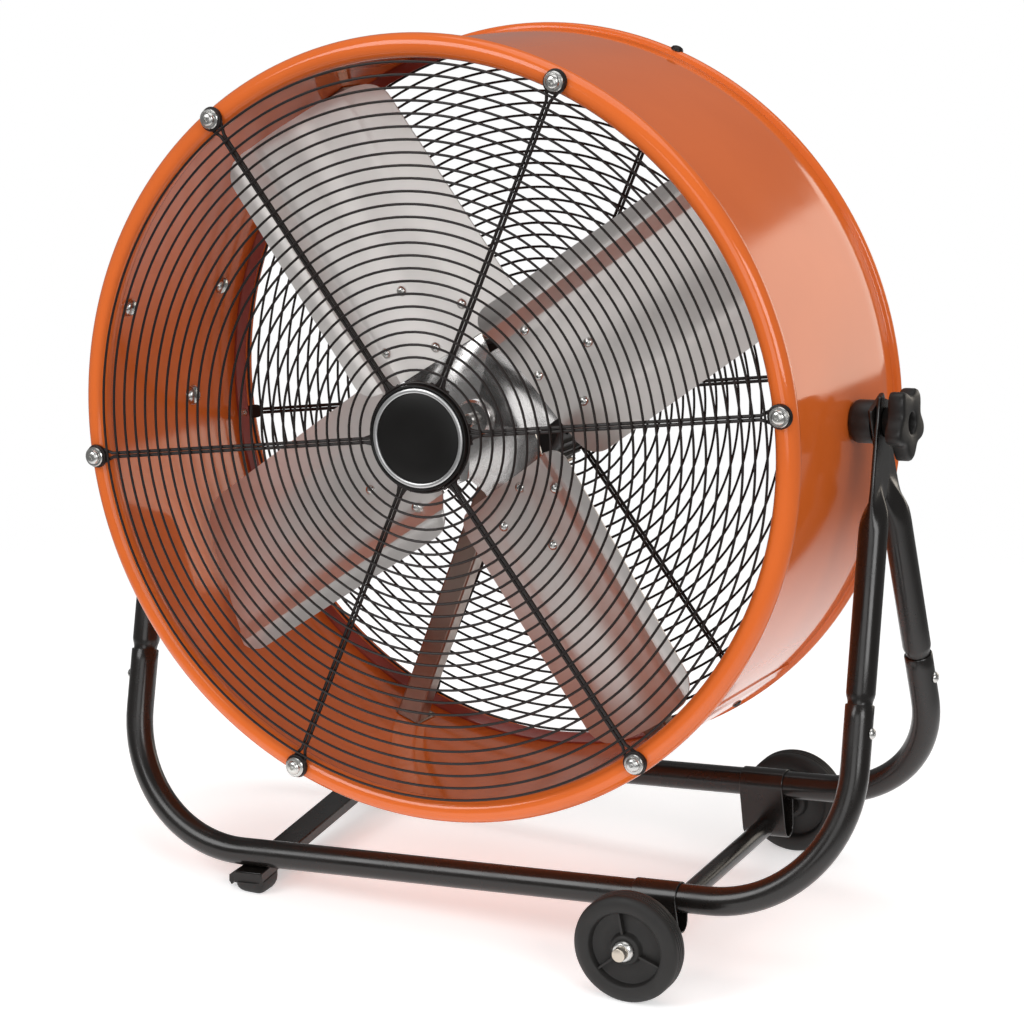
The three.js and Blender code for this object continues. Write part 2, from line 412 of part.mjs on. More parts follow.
// a pitched, cambered surface: across (s) and its depth (y) for a blade standing along its own radius
const bladeDepth = (s) => { const k = s / 66; return HUB_Y - 8 - 27.7 * k - 5.1 * k * k; };
const BLADE_ROWS = [[0, 0.7], [0.05, 1], [0.25, 1], [0.5, 1], [0.75, 1], [0.91, 1], [0.965, 0.93], [1, 0.74]];   // share of the length, share of the width
function bladeSheet(s0, s1, u0, u1, t, back, ns, nu, rounded) {
  const g = new THREE.BoxGeometry(1, 1, 1, ns, nu, 1), p = g.attributes.position;
  for (let i = 0; i < p.count; i++) {
    let a = p.getX(i) + 0.5, b = p.getY(i) + 0.5; const c = p.getZ(i) > 0 ? 1 : 0;
    let e = 1;
    if (rounded) [b, e] = BLADE_ROWS[Math.round(b * nu)];
    const wRoot = rounded ? [-83, 70] : [s0, s1], wTip = rounded ? [-77, 67] : [s0, s1];
    const lo = wRoot[0] + (wTip[0] - wRoot[0]) * b, hi = wRoot[1] + (wTip[1] - wRoot[1]) * b, mid = (lo + hi) / 2, half = ((hi - lo) / 2) * e;
    const s = mid + (a - 0.5) * 2 * half;
    const top = rounded ? Math.sqrt(Math.max(0, u1 * u1 - s * s)) : u1;
    const u = u0 + (top - u0) * b;
    p.setXYZ(i, s, u, bladeDepth(s) + back + (c ? 0 : t));
  }
  return g;                                 // (x = across, y = outwards, z = depth towards the rear)
}
function toFan(g, deg) {                    // across is counter-clockwise seen from the front
  const u = new THREE.Vector3(Math.cos(rad(deg)), 0, Math.sin(rad(deg))), t = new THREE.Vector3(-Math.sin(rad(deg)), 0, Math.cos(rad(deg)));
  const m = new THREE.Matrix4().set(t.x, u.x, 0, 0, 0, 0, 1, 0, t.z, u.z, 0, 0, 0, 0, 0, 1);
  g.applyMatrix4(m);
  const s = solid(g);
  return s;
}
const arms = BLADE_ANGLES.map((deg) => toFan(oriented(bladeSheet(-30, 30, 14, 118, 2.4, BLADE_T + 1.1, 4, 2, false)), deg));
let hub = solid(lathe([[6.3, HUB_Y - 22], [20, HUB_Y - 22], [22, HUB_Y - 20], [22, HUB_Y + 14], [6.3, HUB_Y + 14]], 18));
for (const a of arms) hub = hub.add(a);
const hubBore = solid(rod('y', 6.3, HUB_Y - 40, HUB_Y + 40, 12));
hub = hub.subtract(hubBore);
put(drum, 'hub_spider', geometryOf(hub), aluminium());
BLADE_ANGLES.forEach((deg, i) => {
  put(drum, 'blade_' + (i + 1), geometryOf(toFan(oriented(bladeSheet(0, 0, BLADE_ROOT, TIP_R, BLADE_T, 0, 6, 7, true)), deg)), aluminium());
});

// ======== speed switch on the rear guard ========
const SB0 = REAR_GUARD + GUARD_T + 0.4, SB1 = SB0 + 40;
{
  const w = 43, h = 40, c = 7, o = [[-w + c, -h], [w - c, -h], [w, -h + c], [w, h - c], [w - c, h], [-w + c, h], [-w, h - c], [-w, -h + c]].map(([x, z]) => new THREE.Vector2(x, z));
  const box = plate(o, [], SB1 - SB0);
  box.rotateX(Math.PI / 2); box.translate(0, SB1, 0);
  put(drum, 'switch_box', cut(box, rod('y', 3.6, SB1 - 12, SB1 + 5, 8, 0, 6), rod('z', 6.6, -50, -30, 10, 0, SB0 + 20)), plasticBlack());
  put(drum, 'cord_gland', join(rod('z', 10, -48, -40.4, 8, 0, SB0 + 20), rod('z', 6.2, -41, -32, 10, 0, SB0 + 20), rod('z', 7.6, -56, -47, 10, 0, SB0 + 20)), plasticBlack());
  const k = join(rod('y', 17, SB1 + 0.4, SB1 + 4, 20, 0, 6), (() => { const g = new THREE.BoxGeometry(10, 13, 32); g.translate(0, SB1 + 9.5, 6); return g; })(), rod('y', 3.2, SB1 - 10, SB1 + 2, 8, 0, 6));
  put(drum, 'switch_knob', k, plasticBlack());
}

// stand the fan on the floor, centred over its own footprint
fan.updateMatrixWorld(true);
const size = new THREE.Box3();
fan.traverse((o) => { if (o.isMesh) { const p = o.geometry.attributes.position, v = new THREE.Vector3(); for (let i = 0; i < p.count; i++) size.expandByPoint(v.fromBufferAttribute(p, i).applyMatrix4(o.matrixWorld)); } });
fan.position.set(-(size.min.x + size.max.x) / 2, -(size.min.y + size.max.y) / 2, -size.min.z);
fan.updateMatrixWorld(true);

export default fan;
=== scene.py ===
# Tilting drum fan on a wheeled tube stand: the looks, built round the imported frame.
import math

import bmesh
import bpy
import numpy as np
from mathutils import Matrix, Vector


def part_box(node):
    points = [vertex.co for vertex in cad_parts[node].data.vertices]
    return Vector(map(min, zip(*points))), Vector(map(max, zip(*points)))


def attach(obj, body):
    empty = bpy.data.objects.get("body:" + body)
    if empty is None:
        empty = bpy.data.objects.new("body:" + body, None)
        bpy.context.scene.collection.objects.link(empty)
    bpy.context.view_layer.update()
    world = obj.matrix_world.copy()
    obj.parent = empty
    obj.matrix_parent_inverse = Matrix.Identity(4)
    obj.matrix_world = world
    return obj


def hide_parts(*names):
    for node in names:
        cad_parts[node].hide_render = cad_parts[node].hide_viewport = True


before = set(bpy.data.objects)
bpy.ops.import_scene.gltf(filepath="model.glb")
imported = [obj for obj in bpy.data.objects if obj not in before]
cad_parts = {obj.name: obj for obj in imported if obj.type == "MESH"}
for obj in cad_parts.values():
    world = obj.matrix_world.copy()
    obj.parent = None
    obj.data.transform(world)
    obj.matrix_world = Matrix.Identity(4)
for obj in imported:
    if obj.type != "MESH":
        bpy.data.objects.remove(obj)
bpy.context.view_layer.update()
RAD = math.radians

# ---------------------------------------------------------------- dimensions (mm, degrees)
LEAN, TILT = 5.0, 3.97
TUBE_R, LEG_X = 12.5, 352.2
FRONT_BAR, REAR_BAR = (-138.5, -390.3), (108.2, -371.6)
JOINT_S = 237.6
AXLE_X, AXLE_Z, AXLE_R, ROD_R = 183.7, -411.3, 8.9, 6.0
WHEEL_R, WHEEL_W, WHEEL_FRONT, WHEEL_REAR = 47.7, 24.0, -216.2, 163.6
FOOT_X, FOOT_H = -217.0, 9.0
ROLL_R, ROLL_MIN, WALL_R, WALL_T = 338.8, 10.4, 327.5, 1.5
HEM_R, HEM_MIN, DRUM_FRONT, DRUM_REAR = 332.4, 4.3, -161.2, 109.2
BOLT_CIRCLE, PHASE = 328.6, 5.2
RING_0, RING_STEP, RINGS, WIRE_R = 47.0, 10.75, 26, 1.15
SPOKE_R = 1.5
HUB_Y, TIP_R, ROOT_U = -52.0, 309.0, 61.0
FLANGE_R, FLANGE_Y, REAR_BOLTS, REAR_SPOKES = 316.0, 80.4, 320.0, 84.1
BLADE_ANGLES = (122.5, 32.5, -57.5, -147.5)
STRUTS = (-113.0, -67.0, 122.5)

# the pivot, in mm in the row frame, found from the front floor wheel
_lo, _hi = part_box("wheel_front")
_c = (_lo + _hi) / 2 * 1000
_ca, _sa = math.cos(RAD(LEAN)), math.sin(RAD(LEAN))
PIVOT = Vector((_c.x - (AXLE_X * _ca - AXLE_Z * _sa), _c.y - (WHEEL_FRONT + WHEEL_W / 2), _c.z - (AXLE_X * _sa + AXLE_Z * _ca)))
MS = Matrix.Translation(PIVOT) @ Matrix.Rotation(-RAD(LEAN), 4, "Y")
MD = MS @ Matrix.Rotation(-RAD(TILT), 4, "X")


# ---------------------------------------------------------------- mesh building
class Shape:
    """A growing list of vertices (mm) and faces."""

    def __init__(self):
        self.v, self.f = [], []

    def add(self, verts, faces):
        n = len(self.v)
        self.v.extend(tuple(map(float, p)) for p in verts)
        self.f.extend(tuple(n + i for i in f) for f in faces)
        return self

    def moved(self, m):
        out = Shape()
        out.v = [tuple(m @ Vector(p)) for p in self.v]
        out.f = [tuple(reversed(f)) for f in self.f] if m.determinant() < 0 else list(self.f)
        return out

    def join(self, *others):
        for o in others:
            self.add(o.v, o.f)
        return self


def lathe(profile, n, closed=True, axis="y", centre=(0, 0, 0)):
    """Revolves [(radius, along)] about an axis. A closed profile is a ring; radius 0 ends are poles."""
    s = Shape()
    rows = []
    for r, h in profile:
        if r < 1e-6:
            rows.append([len(s.v)])
            s.v.append((0, h, 0))
        else:
            rows.append(list(range(len(s.v), len(s.v) + n)))
            for i in range(n):
                a = 2 * math.pi * i / n
                s.v.append((r * math.cos(a), h, r * math.sin(a)))
    m = len(rows)
    for k in range(m if closed else m - 1):
        a, b = rows[k], rows[(k + 1) % m]
        for i in range(n):
            j = (i + 1) % n
            if len(a) == 1 and len(b) == 1:
                continue
            if len(a) == 1:
                s.f.append((a[0], b[i], b[j]))
            elif len(b) == 1:
                s.f.append((a[i], b[0], a[j]))
            else:
                s.f.append((a[i], b[i], b[j], a[j]))
    if axis == "x":
        s.v = [(y, x, z) for x, y, z in s.v]
    if axis == "z":
        s.v = [(x, z, y) for x, y, z in s.v]
    cx, cy, cz = centre
    s.v = [(x + cx, y + cy, z + cz) for x, y, z in s.v]
    return s


def tube(path, radius, n=10, closed=False, cap=True, up=None, profile=None):
    """A round (or given) section swept along a path, turned as little as possible."""
    p = np.array(path, float)
    m = len(p)
    if closed:
        tan = np.roll(p, -1, 0) - np.roll(p, 1, 0)
    else:
        tan = np.gradient(p, axis=0)
    tan /= np.linalg.norm(tan, axis=1)[:, None]
    ref = np.array(up if up is not None else ((0, 0, 1) if abs(tan[0][2]) < 0.9 else (1, 0, 0)), float)
    u = ref - tan[0] * (ref @ tan[0])
    u /= np.linalg.norm(u)
    s = Shape()
    rad = np.broadcast_to(np.array(radius, float), (m,))
    ring = profile or [(math.cos(2 * math.pi * i / n), math.sin(2 * math.pi * i / n)) for i in range(n)]
    n = len(ring)
    for k in range(m):
        if k:
            u = u - tan[k] * (u @ tan[k])
            u /= np.linalg.norm(u)
        w = np.cross(tan[k], u)
        for a, b in ring:
            s.v.append(tuple(p[k] + rad[k] * (a * u + b * w)))
    for k in range(m if closed else m - 1):
        a, b = k * n, ((k + 1) % m) * n
        for i in range(n):
            j = (i + 1) % n
            s.f.append((a + i, a + j, b + j, b + i))
    if cap and not closed:
        s.f.append(tuple(reversed(range(n))))
        s.f.append(tuple(range((m - 1) * n, m * n)))
    return s


def slab(outline, depth, frame_=None):
    """A 2-D outline (x, z) pushed from y=0 to y=depth, with optional frame matrix."""
    n = len(outline)
    s = Shape()
    s.v = [(x, 0.0, z) for x, z in outline] + [(x, float(depth), z) for x, z in outline]
    s.f = [tuple(range(n)), tuple(reversed(range(n, 2 * n)))]
    for i in range(n):
        j = (i + 1) % n
        s.f.append((j, i, n + i, n + j))
    return s.moved(frame_) if frame_ else s


def bevel(obj, width, segments=2, angle=40):
    m = obj.modifiers.new("edge", "BEVEL")
    m.width, m.segments, m.limit_method, m.angle_limit = width / 1000, segments, "ANGLE", RAD(angle)
    m.harden_normals = False
    # joins points that the rounding brought together, so that no sliver is left
    obj.modifiers.new("join", "WELD").merge_threshold = 0.000004
    return obj


def piece(name, shape, frame_, body, mat, replaces=(), sharp=38, weld=True):
    """Makes a piece from a shape in mm in a local frame, and lets it ride on a body."""
    mesh = bpy.data.meshes.new(name)
    m = Matrix.Scale(0.001, 4) @ frame_
    mesh.from_pydata([tuple(m @ Vector(p)) for p in shape.v], [], shape.f)
    bm = bmesh.new()
    bm.from_mesh(mesh)
    if weld:
        bmesh.ops.remove_doubles(bm, verts=bm.verts, dist=2e-7)
    bmesh.ops.recalc_face_normals(bm, faces=bm.faces)
    for f in bm.faces:
        f.smooth = True
    lim = RAD(sharp)
    for e in bm.edges:
        if len(e.link_faces) == 2 and e.calc_face_angle(0) > lim:
            e.smooth = False
    bm.to_mesh(mesh)
    bm.free()
    mesh.update()
    mesh.materials.append(mat)
    o = bpy.data.objects.new(name, mesh)
    bpy.context.scene.collection.objects.link(o)
    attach(o, body)
    if replaces:
        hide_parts(*([replaces] if isinstance(replaces, str) else replaces))
    return o


# ---------------------------------------------------------------- materials
def material(name, base, rough, metallic=0.0, coat=0.0, coat_rough=0.05, vary=0.06, tone=(0.0, 0.0, 0.0), grain=0.02, grain_scale=900.0, cloud_scale=9.0,
             rough_vary=0.06, wear=0.0, wear_col=(0.4, 0.38, 0.36), scratch=0.0, stretch=None, ior=1.5, spec=0.5, aniso=0.0):
    """A procedural finish: a clouded base colour, uneven roughness, a fine relief and, where asked, scuffs and edge wear."""
    m = bpy.data.materials.new(name)
    m.use_nodes = True
    nt = m.node_tree
    N, L = nt.nodes, nt.links
    N.clear()
    out = N.new("ShaderNodeOutputMaterial")
    b = N.new("ShaderNodeBsdfPrincipled")
    L.new(b.outputs[0], out.inputs[0])
    b.inputs["Metallic"].default_value = metallic
    b.inputs["IOR"].default_value = ior
    b.inputs["Specular IOR Level"].default_value = spec
    b.inputs["Coat Weight"].default_value = coat
    b.inputs["Coat Roughness"].default_value = coat_rough
    tc = N.new("ShaderNodeTexCoord")
    src = tc.outputs["Object"]
    if stretch:
        mp = N.new("ShaderNodeMapping")
        mp.inputs["Scale"].default_value = stretch
        L.new(src, mp.inputs["Vector"])
        fine_src = mp.outputs[0]
    else:
        fine_src = src

    def noise(scale, detail, vec, rough_=0.5):
        t = N.new("ShaderNodeTexNoise")
        t.inputs["Scale"].default_value = scale
        t.inputs["Detail"].default_value = detail
        t.inputs["Roughness"].default_value = rough_
        L.new(vec, t.inputs["Vector"])
        return t.outputs["Fac"]

    def ramp(fac, lo, hi, clo=(0, 0, 0, 1), chi=(1, 1, 1, 1)):
        r = N.new("ShaderNodeValToRGB")
        r.color_ramp.elements[0].position, r.color_ramp.elements[1].position = lo, hi
        r.color_ramp.elements[0].color, r.color_ramp.elements[1].color = clo, chi
        L.new(fac, r.inputs[0])
        return r.outputs[0]

    def mix(fac, a, c, kind="MIX"):
        x = N.new("ShaderNodeMix")
        x.data_type, x.blend_type = "RGBA", kind
        for sock, val in ((x.inputs[0], fac), (x.inputs[6], a), (x.inputs[7], c)):
            if hasattr(val, "links"):
                L.new(val, sock)
            else:
                sock.default_value = val
        return x.outputs[2]

    dark = tuple(max(0.0, c * (1 - vary)) for c in base) + (1,)
    light = tuple(min(1.0, c * (1 + vary) + t) for c, t in zip(base, tone)) + (1,)
    cloud = noise(cloud_scale, 4, src)
    col = ramp(cloud, 0.3, 0.7, dark, light)
    rr = N.new("ShaderNodeMapRange")
    rr.inputs["From Min"].default_value, rr.inputs["From Max"].default_value = 0.3, 0.7
    rr.inputs["To Min"].default_value, rr.inputs["To Max"].default_value = max(0.02, rough - rough_vary), min(1, rough + rough_vary)
    L.new(noise(cloud_scale * 3.1, 5, src), rr.inputs["Value"])
    rough_out = rr.outputs[0]
    if wear > 0:
        geo = N.new("ShaderNodeNewGeometry")
        edge = ramp(geo.outputs["Pointiness"], 0.53, 0.60)
        patch = ramp(noise(60, 6, src, 0.65), 0.52, 0.66)
        mul = N.new("ShaderNodeMath")
        mul.operation = "MULTIPLY"
        L.new(edge, mul.inputs[0])
        L.new(patch, mul.inputs[1])
        sc = N.new("ShaderNodeMath")
        sc.operation = "MULTIPLY"
        L.new(mul.outputs[0], sc.inputs[0])
        sc.inputs[1].default_value = wear
        col = mix(sc.outputs[0], col, wear_col + (1,))
    L.new(col, b.inputs["Base Color"])
    L.new(rough_out, b.inputs["Roughness"])
    bump = N.new("ShaderNodeBump")
    bump.inputs["Strength"].default_value = grain
    bump.inputs["Distance"].default_value = 0.0006
    height = noise(grain_scale, 3, fine_src)
    if scratch > 0:
        wv = noise(grain_scale * 0.35, 8, fine_src, 0.7)
        ad = N.new("ShaderNodeMath")
        ad.operation = "MULTIPLY_ADD"
        L.new(wv, ad.inputs[0])
        ad.inputs[1].default_value = scratch
        L.new(height, ad.inputs[2])
        height = ad.outputs[0]
    L.new(height, bump.inputs["Height"])
    L.new(bump.outputs[0], b.inputs["Normal"])
    if aniso:
        b.inputs["Anisotropic"].default_value = aniso
    return m


ORANGE = material("orange_powder", (0.672, 0.132, 0.0225), 0.105, vary=0.03, tone=(0.01, 0.005, 0.001), grain=0.015, grain_scale=700, wear=0.25, wear_col=(0.30, 0.06, 0.015), rough_vary=0.02)
# the drum's orange paint darkened to dark red: painted shade for the rear flange ring, which lies in shadow deep in the
# drum
SHADE = material("orange_ring_painted_shade", (0.30, 0.036, 0.018), 0.34, vary=0.08, grain=0.05, grain_scale=700)
BLACK = material("black_gloss", (0.0072, 0.0058, 0.0050), 0.26, coat=0.1, coat_rough=0.12, vary=0.2, grain=0.04, grain_scale=600, wear=0.30, wear_col=(0.06, 0.055, 0.05))
WIRE = material("black_wire", (0.0100, 0.0066, 0.0058), 0.42, vary=0.2, grain=0.03, grain_scale=900, spec=0.3)
PLASTIC = material("black_plastic", (0.0100, 0.0092, 0.0086), 0.42, vary=0.15, grain=0.16, grain_scale=1500, rough_vary=0.05, spec=0.4)
RUBBER = material("wheel_rubber", (0.0125, 0.0115, 0.0107), 0.55, vary=0.18, grain=0.25, grain_scale=1100, rough_vary=0.08, spec=0.4)
BADGE = material("badge_black", (0.0050, 0.0045, 0.0042), 0.40, vary=0.1, grain=0.05, grain_scale=1500, spec=0.25)
SILVER = material("badge_silver", (0.56, 0.56, 0.56), 0.32, metallic=0.9, vary=0.05, grain=0.05)
ZINC = material("zinc_plate", (0.60, 0.595, 0.585), 0.25, metallic=1.0, vary=0.08, grain=0.12, grain_scale=800, cloud_scale=60, tone=(0.02, 0.02, 0.0))
ALU = material("blade_sheet", (0.65, 0.62, 0.60), 0.30, metallic=0.80, vary=0.03, grain=0.001, grain_scale=120, cloud_scale=9, rough_vary=0.012)
SPIDER = material("hub_sheet", (0.62, 0.605, 0.595), 0.20, metallic=0.95, vary=0.05, grain=0.002, grain_scale=200, cloud_scale=20, scratch=0.08)
MOTOR = material("motor_black", (0.0075, 0.0075, 0.0075), 0.38, vary=0.2, grain=0.2, grain_scale=700)
# strut steel tinted brown and darkened: painted reflection of the orange drum interior and painted shade inside the
# drum
STRUT = material("strut_sheet", (0.33, 0.265, 0.230), 0.34, metallic=0.9, vary=0.10, grain=0.10, grain_scale=300, cloud_scale=25, scratch=0.4)
STEEL = material("shaft_steel", (0.50, 0.49, 0.47), 0.27, metallic=1.0, vary=0.06, grain=0.08, grain_scale=500)
PIN = material("axle_end", (0.60, 0.54, 0.46), 0.36, metallic=0.9, vary=0.06, grain=0.1, grain_scale=700)

# ---------------------------------------------------------------- drum
def circle_pts(cr, cy, r, a0, a1, n):
    return [(cr + r * math.cos(RAD(a0 + (a1 - a0) * i / n)), cy + r * math.sin(RAD(a0 + (a1 - a0) * i / n))) for i in range(n + 1)]


rc, ry = ROLL_R - ROLL_MIN, DRUM_FRONT + ROLL_MIN
hc, hy = HEM_R - HEM_MIN, DRUM_REAR - HEM_MIN
prof = circle_pts(rc, ry, ROLL_MIN, 103.5, 452.0, 26)
prof += [(WALL_R + 0.55, ry + ROLL_MIN + 0.1), (WALL_R, ry + ROLL_MIN + 1.6)]
prof += [(WALL_R, y) for y in np.linspace(ry + ROLL_MIN + 8, hy - HEM_MIN - 3.5, 9)]
prof += [(WALL_R - 0.5, hy - HEM_MIN - 2.0), (WALL_R - 0.5, hy - HEM_MIN - 0.8)]
prof += circle_pts(hc, hy, HEM_MIN, -88, 248, 14)
WALL_I = WALL_R - WALL_T
prof += [(WALL_I, hy - HEM_MIN - 1), (WALL_I, 91.0), (WALL_I, 82.6), (WALL_I, 77.6)]
prof += [(WALL_I, y) for y in np.linspace(66, ry + ROLL_MIN + 2, 7)]
# the rear flange ring takes the darkened orange paint as painted shade, not a paint of its own
piece("drum_inner_ring", lathe([(WALL_I - 0.1, 77.4), (WALL_I - 0.7, 78.8), (WALL_I - 1.8, 79.5), (FLANGE_R + 0.9, 80.6), (FLANGE_R + 0.2, 80.9), (FLANGE_R, 81.4), (FLANGE_R + 0.2, 81.9), (FLANGE_R + 0.9, 82.1), (WALL_I - 0.1, 82.0)], 224), MD, "drum", SHADE, (), sharp=50)
SHELL = piece("drum_wall", lathe(prof, 224), MD, "drum", ORANGE, "drum_shell", sharp=50)

# the wall's overlapped seam on the outside, with its two screws
seam = Shape()
a0, a1, n = -55.2, -47.0, 10
ys = [-139.0, -138.0, 96.0, 97.0]
grid = []
for i in range(n + 1):
    a = RAD(a0 + (a1 - a0) * i / n)
    r_out = WALL_R + (1.35 if 0 < i < n else 1.1)
    r_in = WALL_R + (1.3 if i < 2 else 0.05)
    r_out += 0.9 if i < 8 else 0.0
    grid.append([(r_out * math.cos(a), y, r_out * math.sin(a)) for y in ys] + [(r_in * math.cos(a), y, r_in * math.sin(a)) for y in reversed(ys)])
k = len(grid[0])
seam.v = [p for g in grid for p in g]
for i in range(n):
    for j in range(k):
        seam.f.append((i * k + j, i * k + (j + 1) % k, (i + 1) * k + (j + 1) % k, (i + 1) * k + j))
seam.f += [tuple(range(k)), tuple(reversed(range(n * k, n * k + k)))]
piece("drum_seam", seam, MD, "drum", ORANGE, ())


def dome_screw(head_r, head_h, shank, n=20, cross=True):
    """A pan head screw standing along -Y from y=0, cross recess in the head."""
    pr = [(0, -head_h * 0.62 if cross else -head_h), (head_r * 0.30, -head_h * 0.66 if cross else -head_h * 0.98), (head_r * 0.36, -head_h * 0.97), (head_r * 0.62, -head_h * 0.86), (head_r * 0.88, -head_h * 0.5), (head_r, -head_h * 0.1), (head_r, 0), (shank * 0.5, 0), (shank * 0.5, 4), (0, 4)]
    s = lathe(pr, n, closed=False)
    return s


def at_angle(shape, deg, r, y, out_face=False):
    """Places a shape made for the front (-Y) at an angle and radius of the drum."""
    return shape.moved(Matrix.Translation((r * math.cos(RAD(deg)), y, r * math.sin(RAD(deg)))))


def radial(shape, deg, r, y):
    """Turns a shape made along -Y so that -Y points outwards along the radius."""
    m = Matrix.Translation((r * math.cos(RAD(deg)), y, r * math.sin(RAD(deg)))) @ Matrix.Rotation(-RAD(deg), 4, "Y") @ Matrix.Rotation(RAD(90), 4, "Z")
    return shape.moved(m)


s = Shape()
for y in (42.0, -60.0):
    s.join(radial(dome_screw(4.6, 2.6, 3), -53.6, WALL_R + 2.2, y))
piece("seam_screws", s, MD, "drum", BLACK, ())

# ---------------------------------------------------------------- guards
def ring_path(r, y, n):
    return [(r * math.cos(2 * math.pi * i / n), y, r * math.sin(2 * math.pi * i / n)) for i in range(n)]


def guard(y_ring, side, bolts, eye):
    """Concentric wire rings on six double spokes, whose wires loop round the screws. side is -1 for the front."""
    s = Shape()
    for i in range(RINGS):
        r = RING_0 + RING_STEP * i
        n = int(np.clip(r * 0.72, 56, 200))
        s.join(tube(ring_path(r, y_ring, n), WIRE_R, 8, closed=True, up=(0, 1, 0)))
    ys = y_ring - side * (WIRE_R + SPOKE_R - 0.4)
    for k in range(6):
        a = RAD(PHASE + 60 * k)
        u, w = np.array([math.cos(a), 0, math.sin(a)]), np.array([-math.sin(a), 0, math.cos(a)])
        # one wire: in along one side, round the screw, and out along the other
        loop = []
        for t in (45.5, 60, 120, 180, 240, 300, bolts - 2 * eye):
            loop.append(u * t + w * SPOKE_R * 1.10)
        half = math.degrees(math.asin((SPOKE_R * 1.10 + 1.2) / eye))
        for t in np.linspace(180 - half - 22, -180 + half + 22, 22):
            loop.append(u * (bolts + eye * math.cos(RAD(t))) + w * eye * math.sin(RAD(t)))
        for t in (bolts - 2 * eye, 300, 240, 180, 120, 60, 45.5):
            loop.append(u * t - w * SPOKE_R * 1.10)
        loop = np.array(loop)
        loop[:, 1] = ys
        s.join(tube(loop, SPOKE_R, 8, up=(0, 1, 0)))
    return s


RING_Y = DRUM_FRONT - 3.3
piece("guard_front_wires", guard(RING_Y, -1, BOLT_CIRCLE, 8.9), MD, "drum", WIRE, "front_guard")
piece("guard_rear_wires", guard(REAR_SPOKES + 2.25, 1, REAR_BOLTS, 4.0), MD, "drum", WIRE, "rear_guard")


def bolt_head():
    """Washer head bolt seen from the front: a broad flange with a rounded, slotted crown."""
    pr = [(0, -4.0), (1.5, -4.15), (1.9, -5.5), (3.4, -5.35), (5.2, -4.6), (6.1, -3.2), (6.3, -1.9), (8.1, -1.7), (8.7, -1.0), (8.7, 0), (2.4, 0), (2.4, 5.4), (0, 5.4)]
    return lathe(pr, 28, closed=False)


clip = Shape()
for i in range(6):
    a = PHASE + 60 * i
    f = DRUM_FRONT - 4.9
    piece("bolt_front_%d" % (i + 1), at_angle(bolt_head(), a, BOLT_CIRCLE, f), MD, "drum", ZINC, "guard_screw_front_%d" % (i + 1))
    b = bolt_head().moved(Matrix.Rotation(math.pi, 4, "Z") @ Matrix.Scale(0.53, 4))
    # its end and a nut show on the inner ring's front
    b.join(lathe([(0, -9.2), (1.3, -9.2), (1.7, -8.7), (1.7, 0.1), (0, 0.1)], 12, closed=False))
    b.join(lathe([(1.7, -8.0), (3.1, -8.0), (3.6, -7.5), (3.6, -6.1), (1.7, -6.1)], 6))
    piece("bolt_rear_%d" % (i + 1), at_angle(b, a, REAR_BOLTS, 86.1), MD, "drum", ZINC, "guard_screw_rear_%d" % (i + 1))

# black plastic cushions: round ones behind the front bolt heads, oval ones under the rear guard's spokes
s, t = Shape(), Shape()
for i in range(6):
    a = PHASE + 60 * i
    ring = lathe([(3.0, 0.3), (8.6, 0.3), (10.2, 1.2), (10.4, 2.6), (9.9, 4.2), (8.6, 4.7), (3.0, 4.7)], 26)
    s.join(at_angle(ring.moved(Matrix.Rotation(math.pi, 4, "Z")), a, BOLT_CIRCLE - 0.9, DRUM_FRONT))
    oval = [(312.0 + 9.0 * math.copysign(abs(math.cos(q)) ** 0.7, math.cos(q)), 6.2 * math.copysign(abs(math.sin(q)) ** 0.7, math.sin(q))) for q in np.linspace(0, 2 * math.pi, 28, endpoint=False)]
    t.join(slab(oval, 3.6).moved(Matrix.Rotation(-RAD(a), 4, "Y") @ Matrix.Translation((0, 82.4, 0))))
piece("guard_cushions_front", s, MD, "drum", WIRE, ())
bevel(piece("guard_cushions_rear", t, MD, "drum", WIRE, ()), 0.8)

# a small black stud that shows on the rear hem
piece("hem_stud", radial(lathe([(0, -3.4), (2.6, -3.2), (4.6, -2.3), (5.6, -0.8), (5.8, 0.4), (0, 0.4)], 20, closed=False), 67.3, HEM_R - 0.4, DRUM_REAR - 2.6), MD, "drum", WIRE, ())

# ---------------------------------------------------------------- badge: plain black disc in a plain silver ring
by = DRUM_FRONT - 5.4
pr = [(0, by - 1.6), (20, by - 1.75), (37.4, by - 1.9), (38.6, by - 1.2), (42.8, by - 1.2), (44.0, by - 2.4), (45.2, by - 2.1), (45.7, by - 0.9), (45.7, by + 5.0), (0, by + 5.0)]
piece("badge_face", lathe(pr, 128, closed=False), MD, "drum", BADGE, "badge_disc")
piece("badge_band", lathe([(38.9, by - 1.0), (38.9, by - 2.5), (39.6, by - 3.0), (41.6, by - 3.0), (42.5, by - 2.4), (42.5, by - 1.0)], 128), MD, "drum", SILVER, "badge_ring")
s = Shape()
for k in range(6):
    a = RAD(PHASE + 60 * k)
    u, w = np.array([math.cos(a), 0, math.sin(a)]), np.array([-math.sin(a), 0, math.cos(a)])
    for sgn in (1, -1):
        p = [u * 54 + w * sgn * 2.0, u * 49 + w * sgn * 3.2, u * 46.5 + w * sgn * 5.6, u * 47 + w * sgn * 9.0]
        p = np.array(p)
        p[:, 1] = RING_Y + 2.25
        s.join(tube(p, SPOKE_R, 8, up=(0, 1, 0)))
piece("guard_spoke_hooks", s, MD, "drum", WIRE, ())

# ---------------------------------------------------------------- fan wheel
# knots across a blade, and the depth there near the root and at the tip
SECTION = [(-84, -32.5, -34.0), (-49, -42.6, -47.0), (-44, -44.2, -49.2), (0, -56.0, -62.0), (40, -71.5, -83.0), (44, -75.6, -87.2), (52.5, -85.4, -96.2), (56, -87.0, -97.6), (71, -90.6, -100.4)]


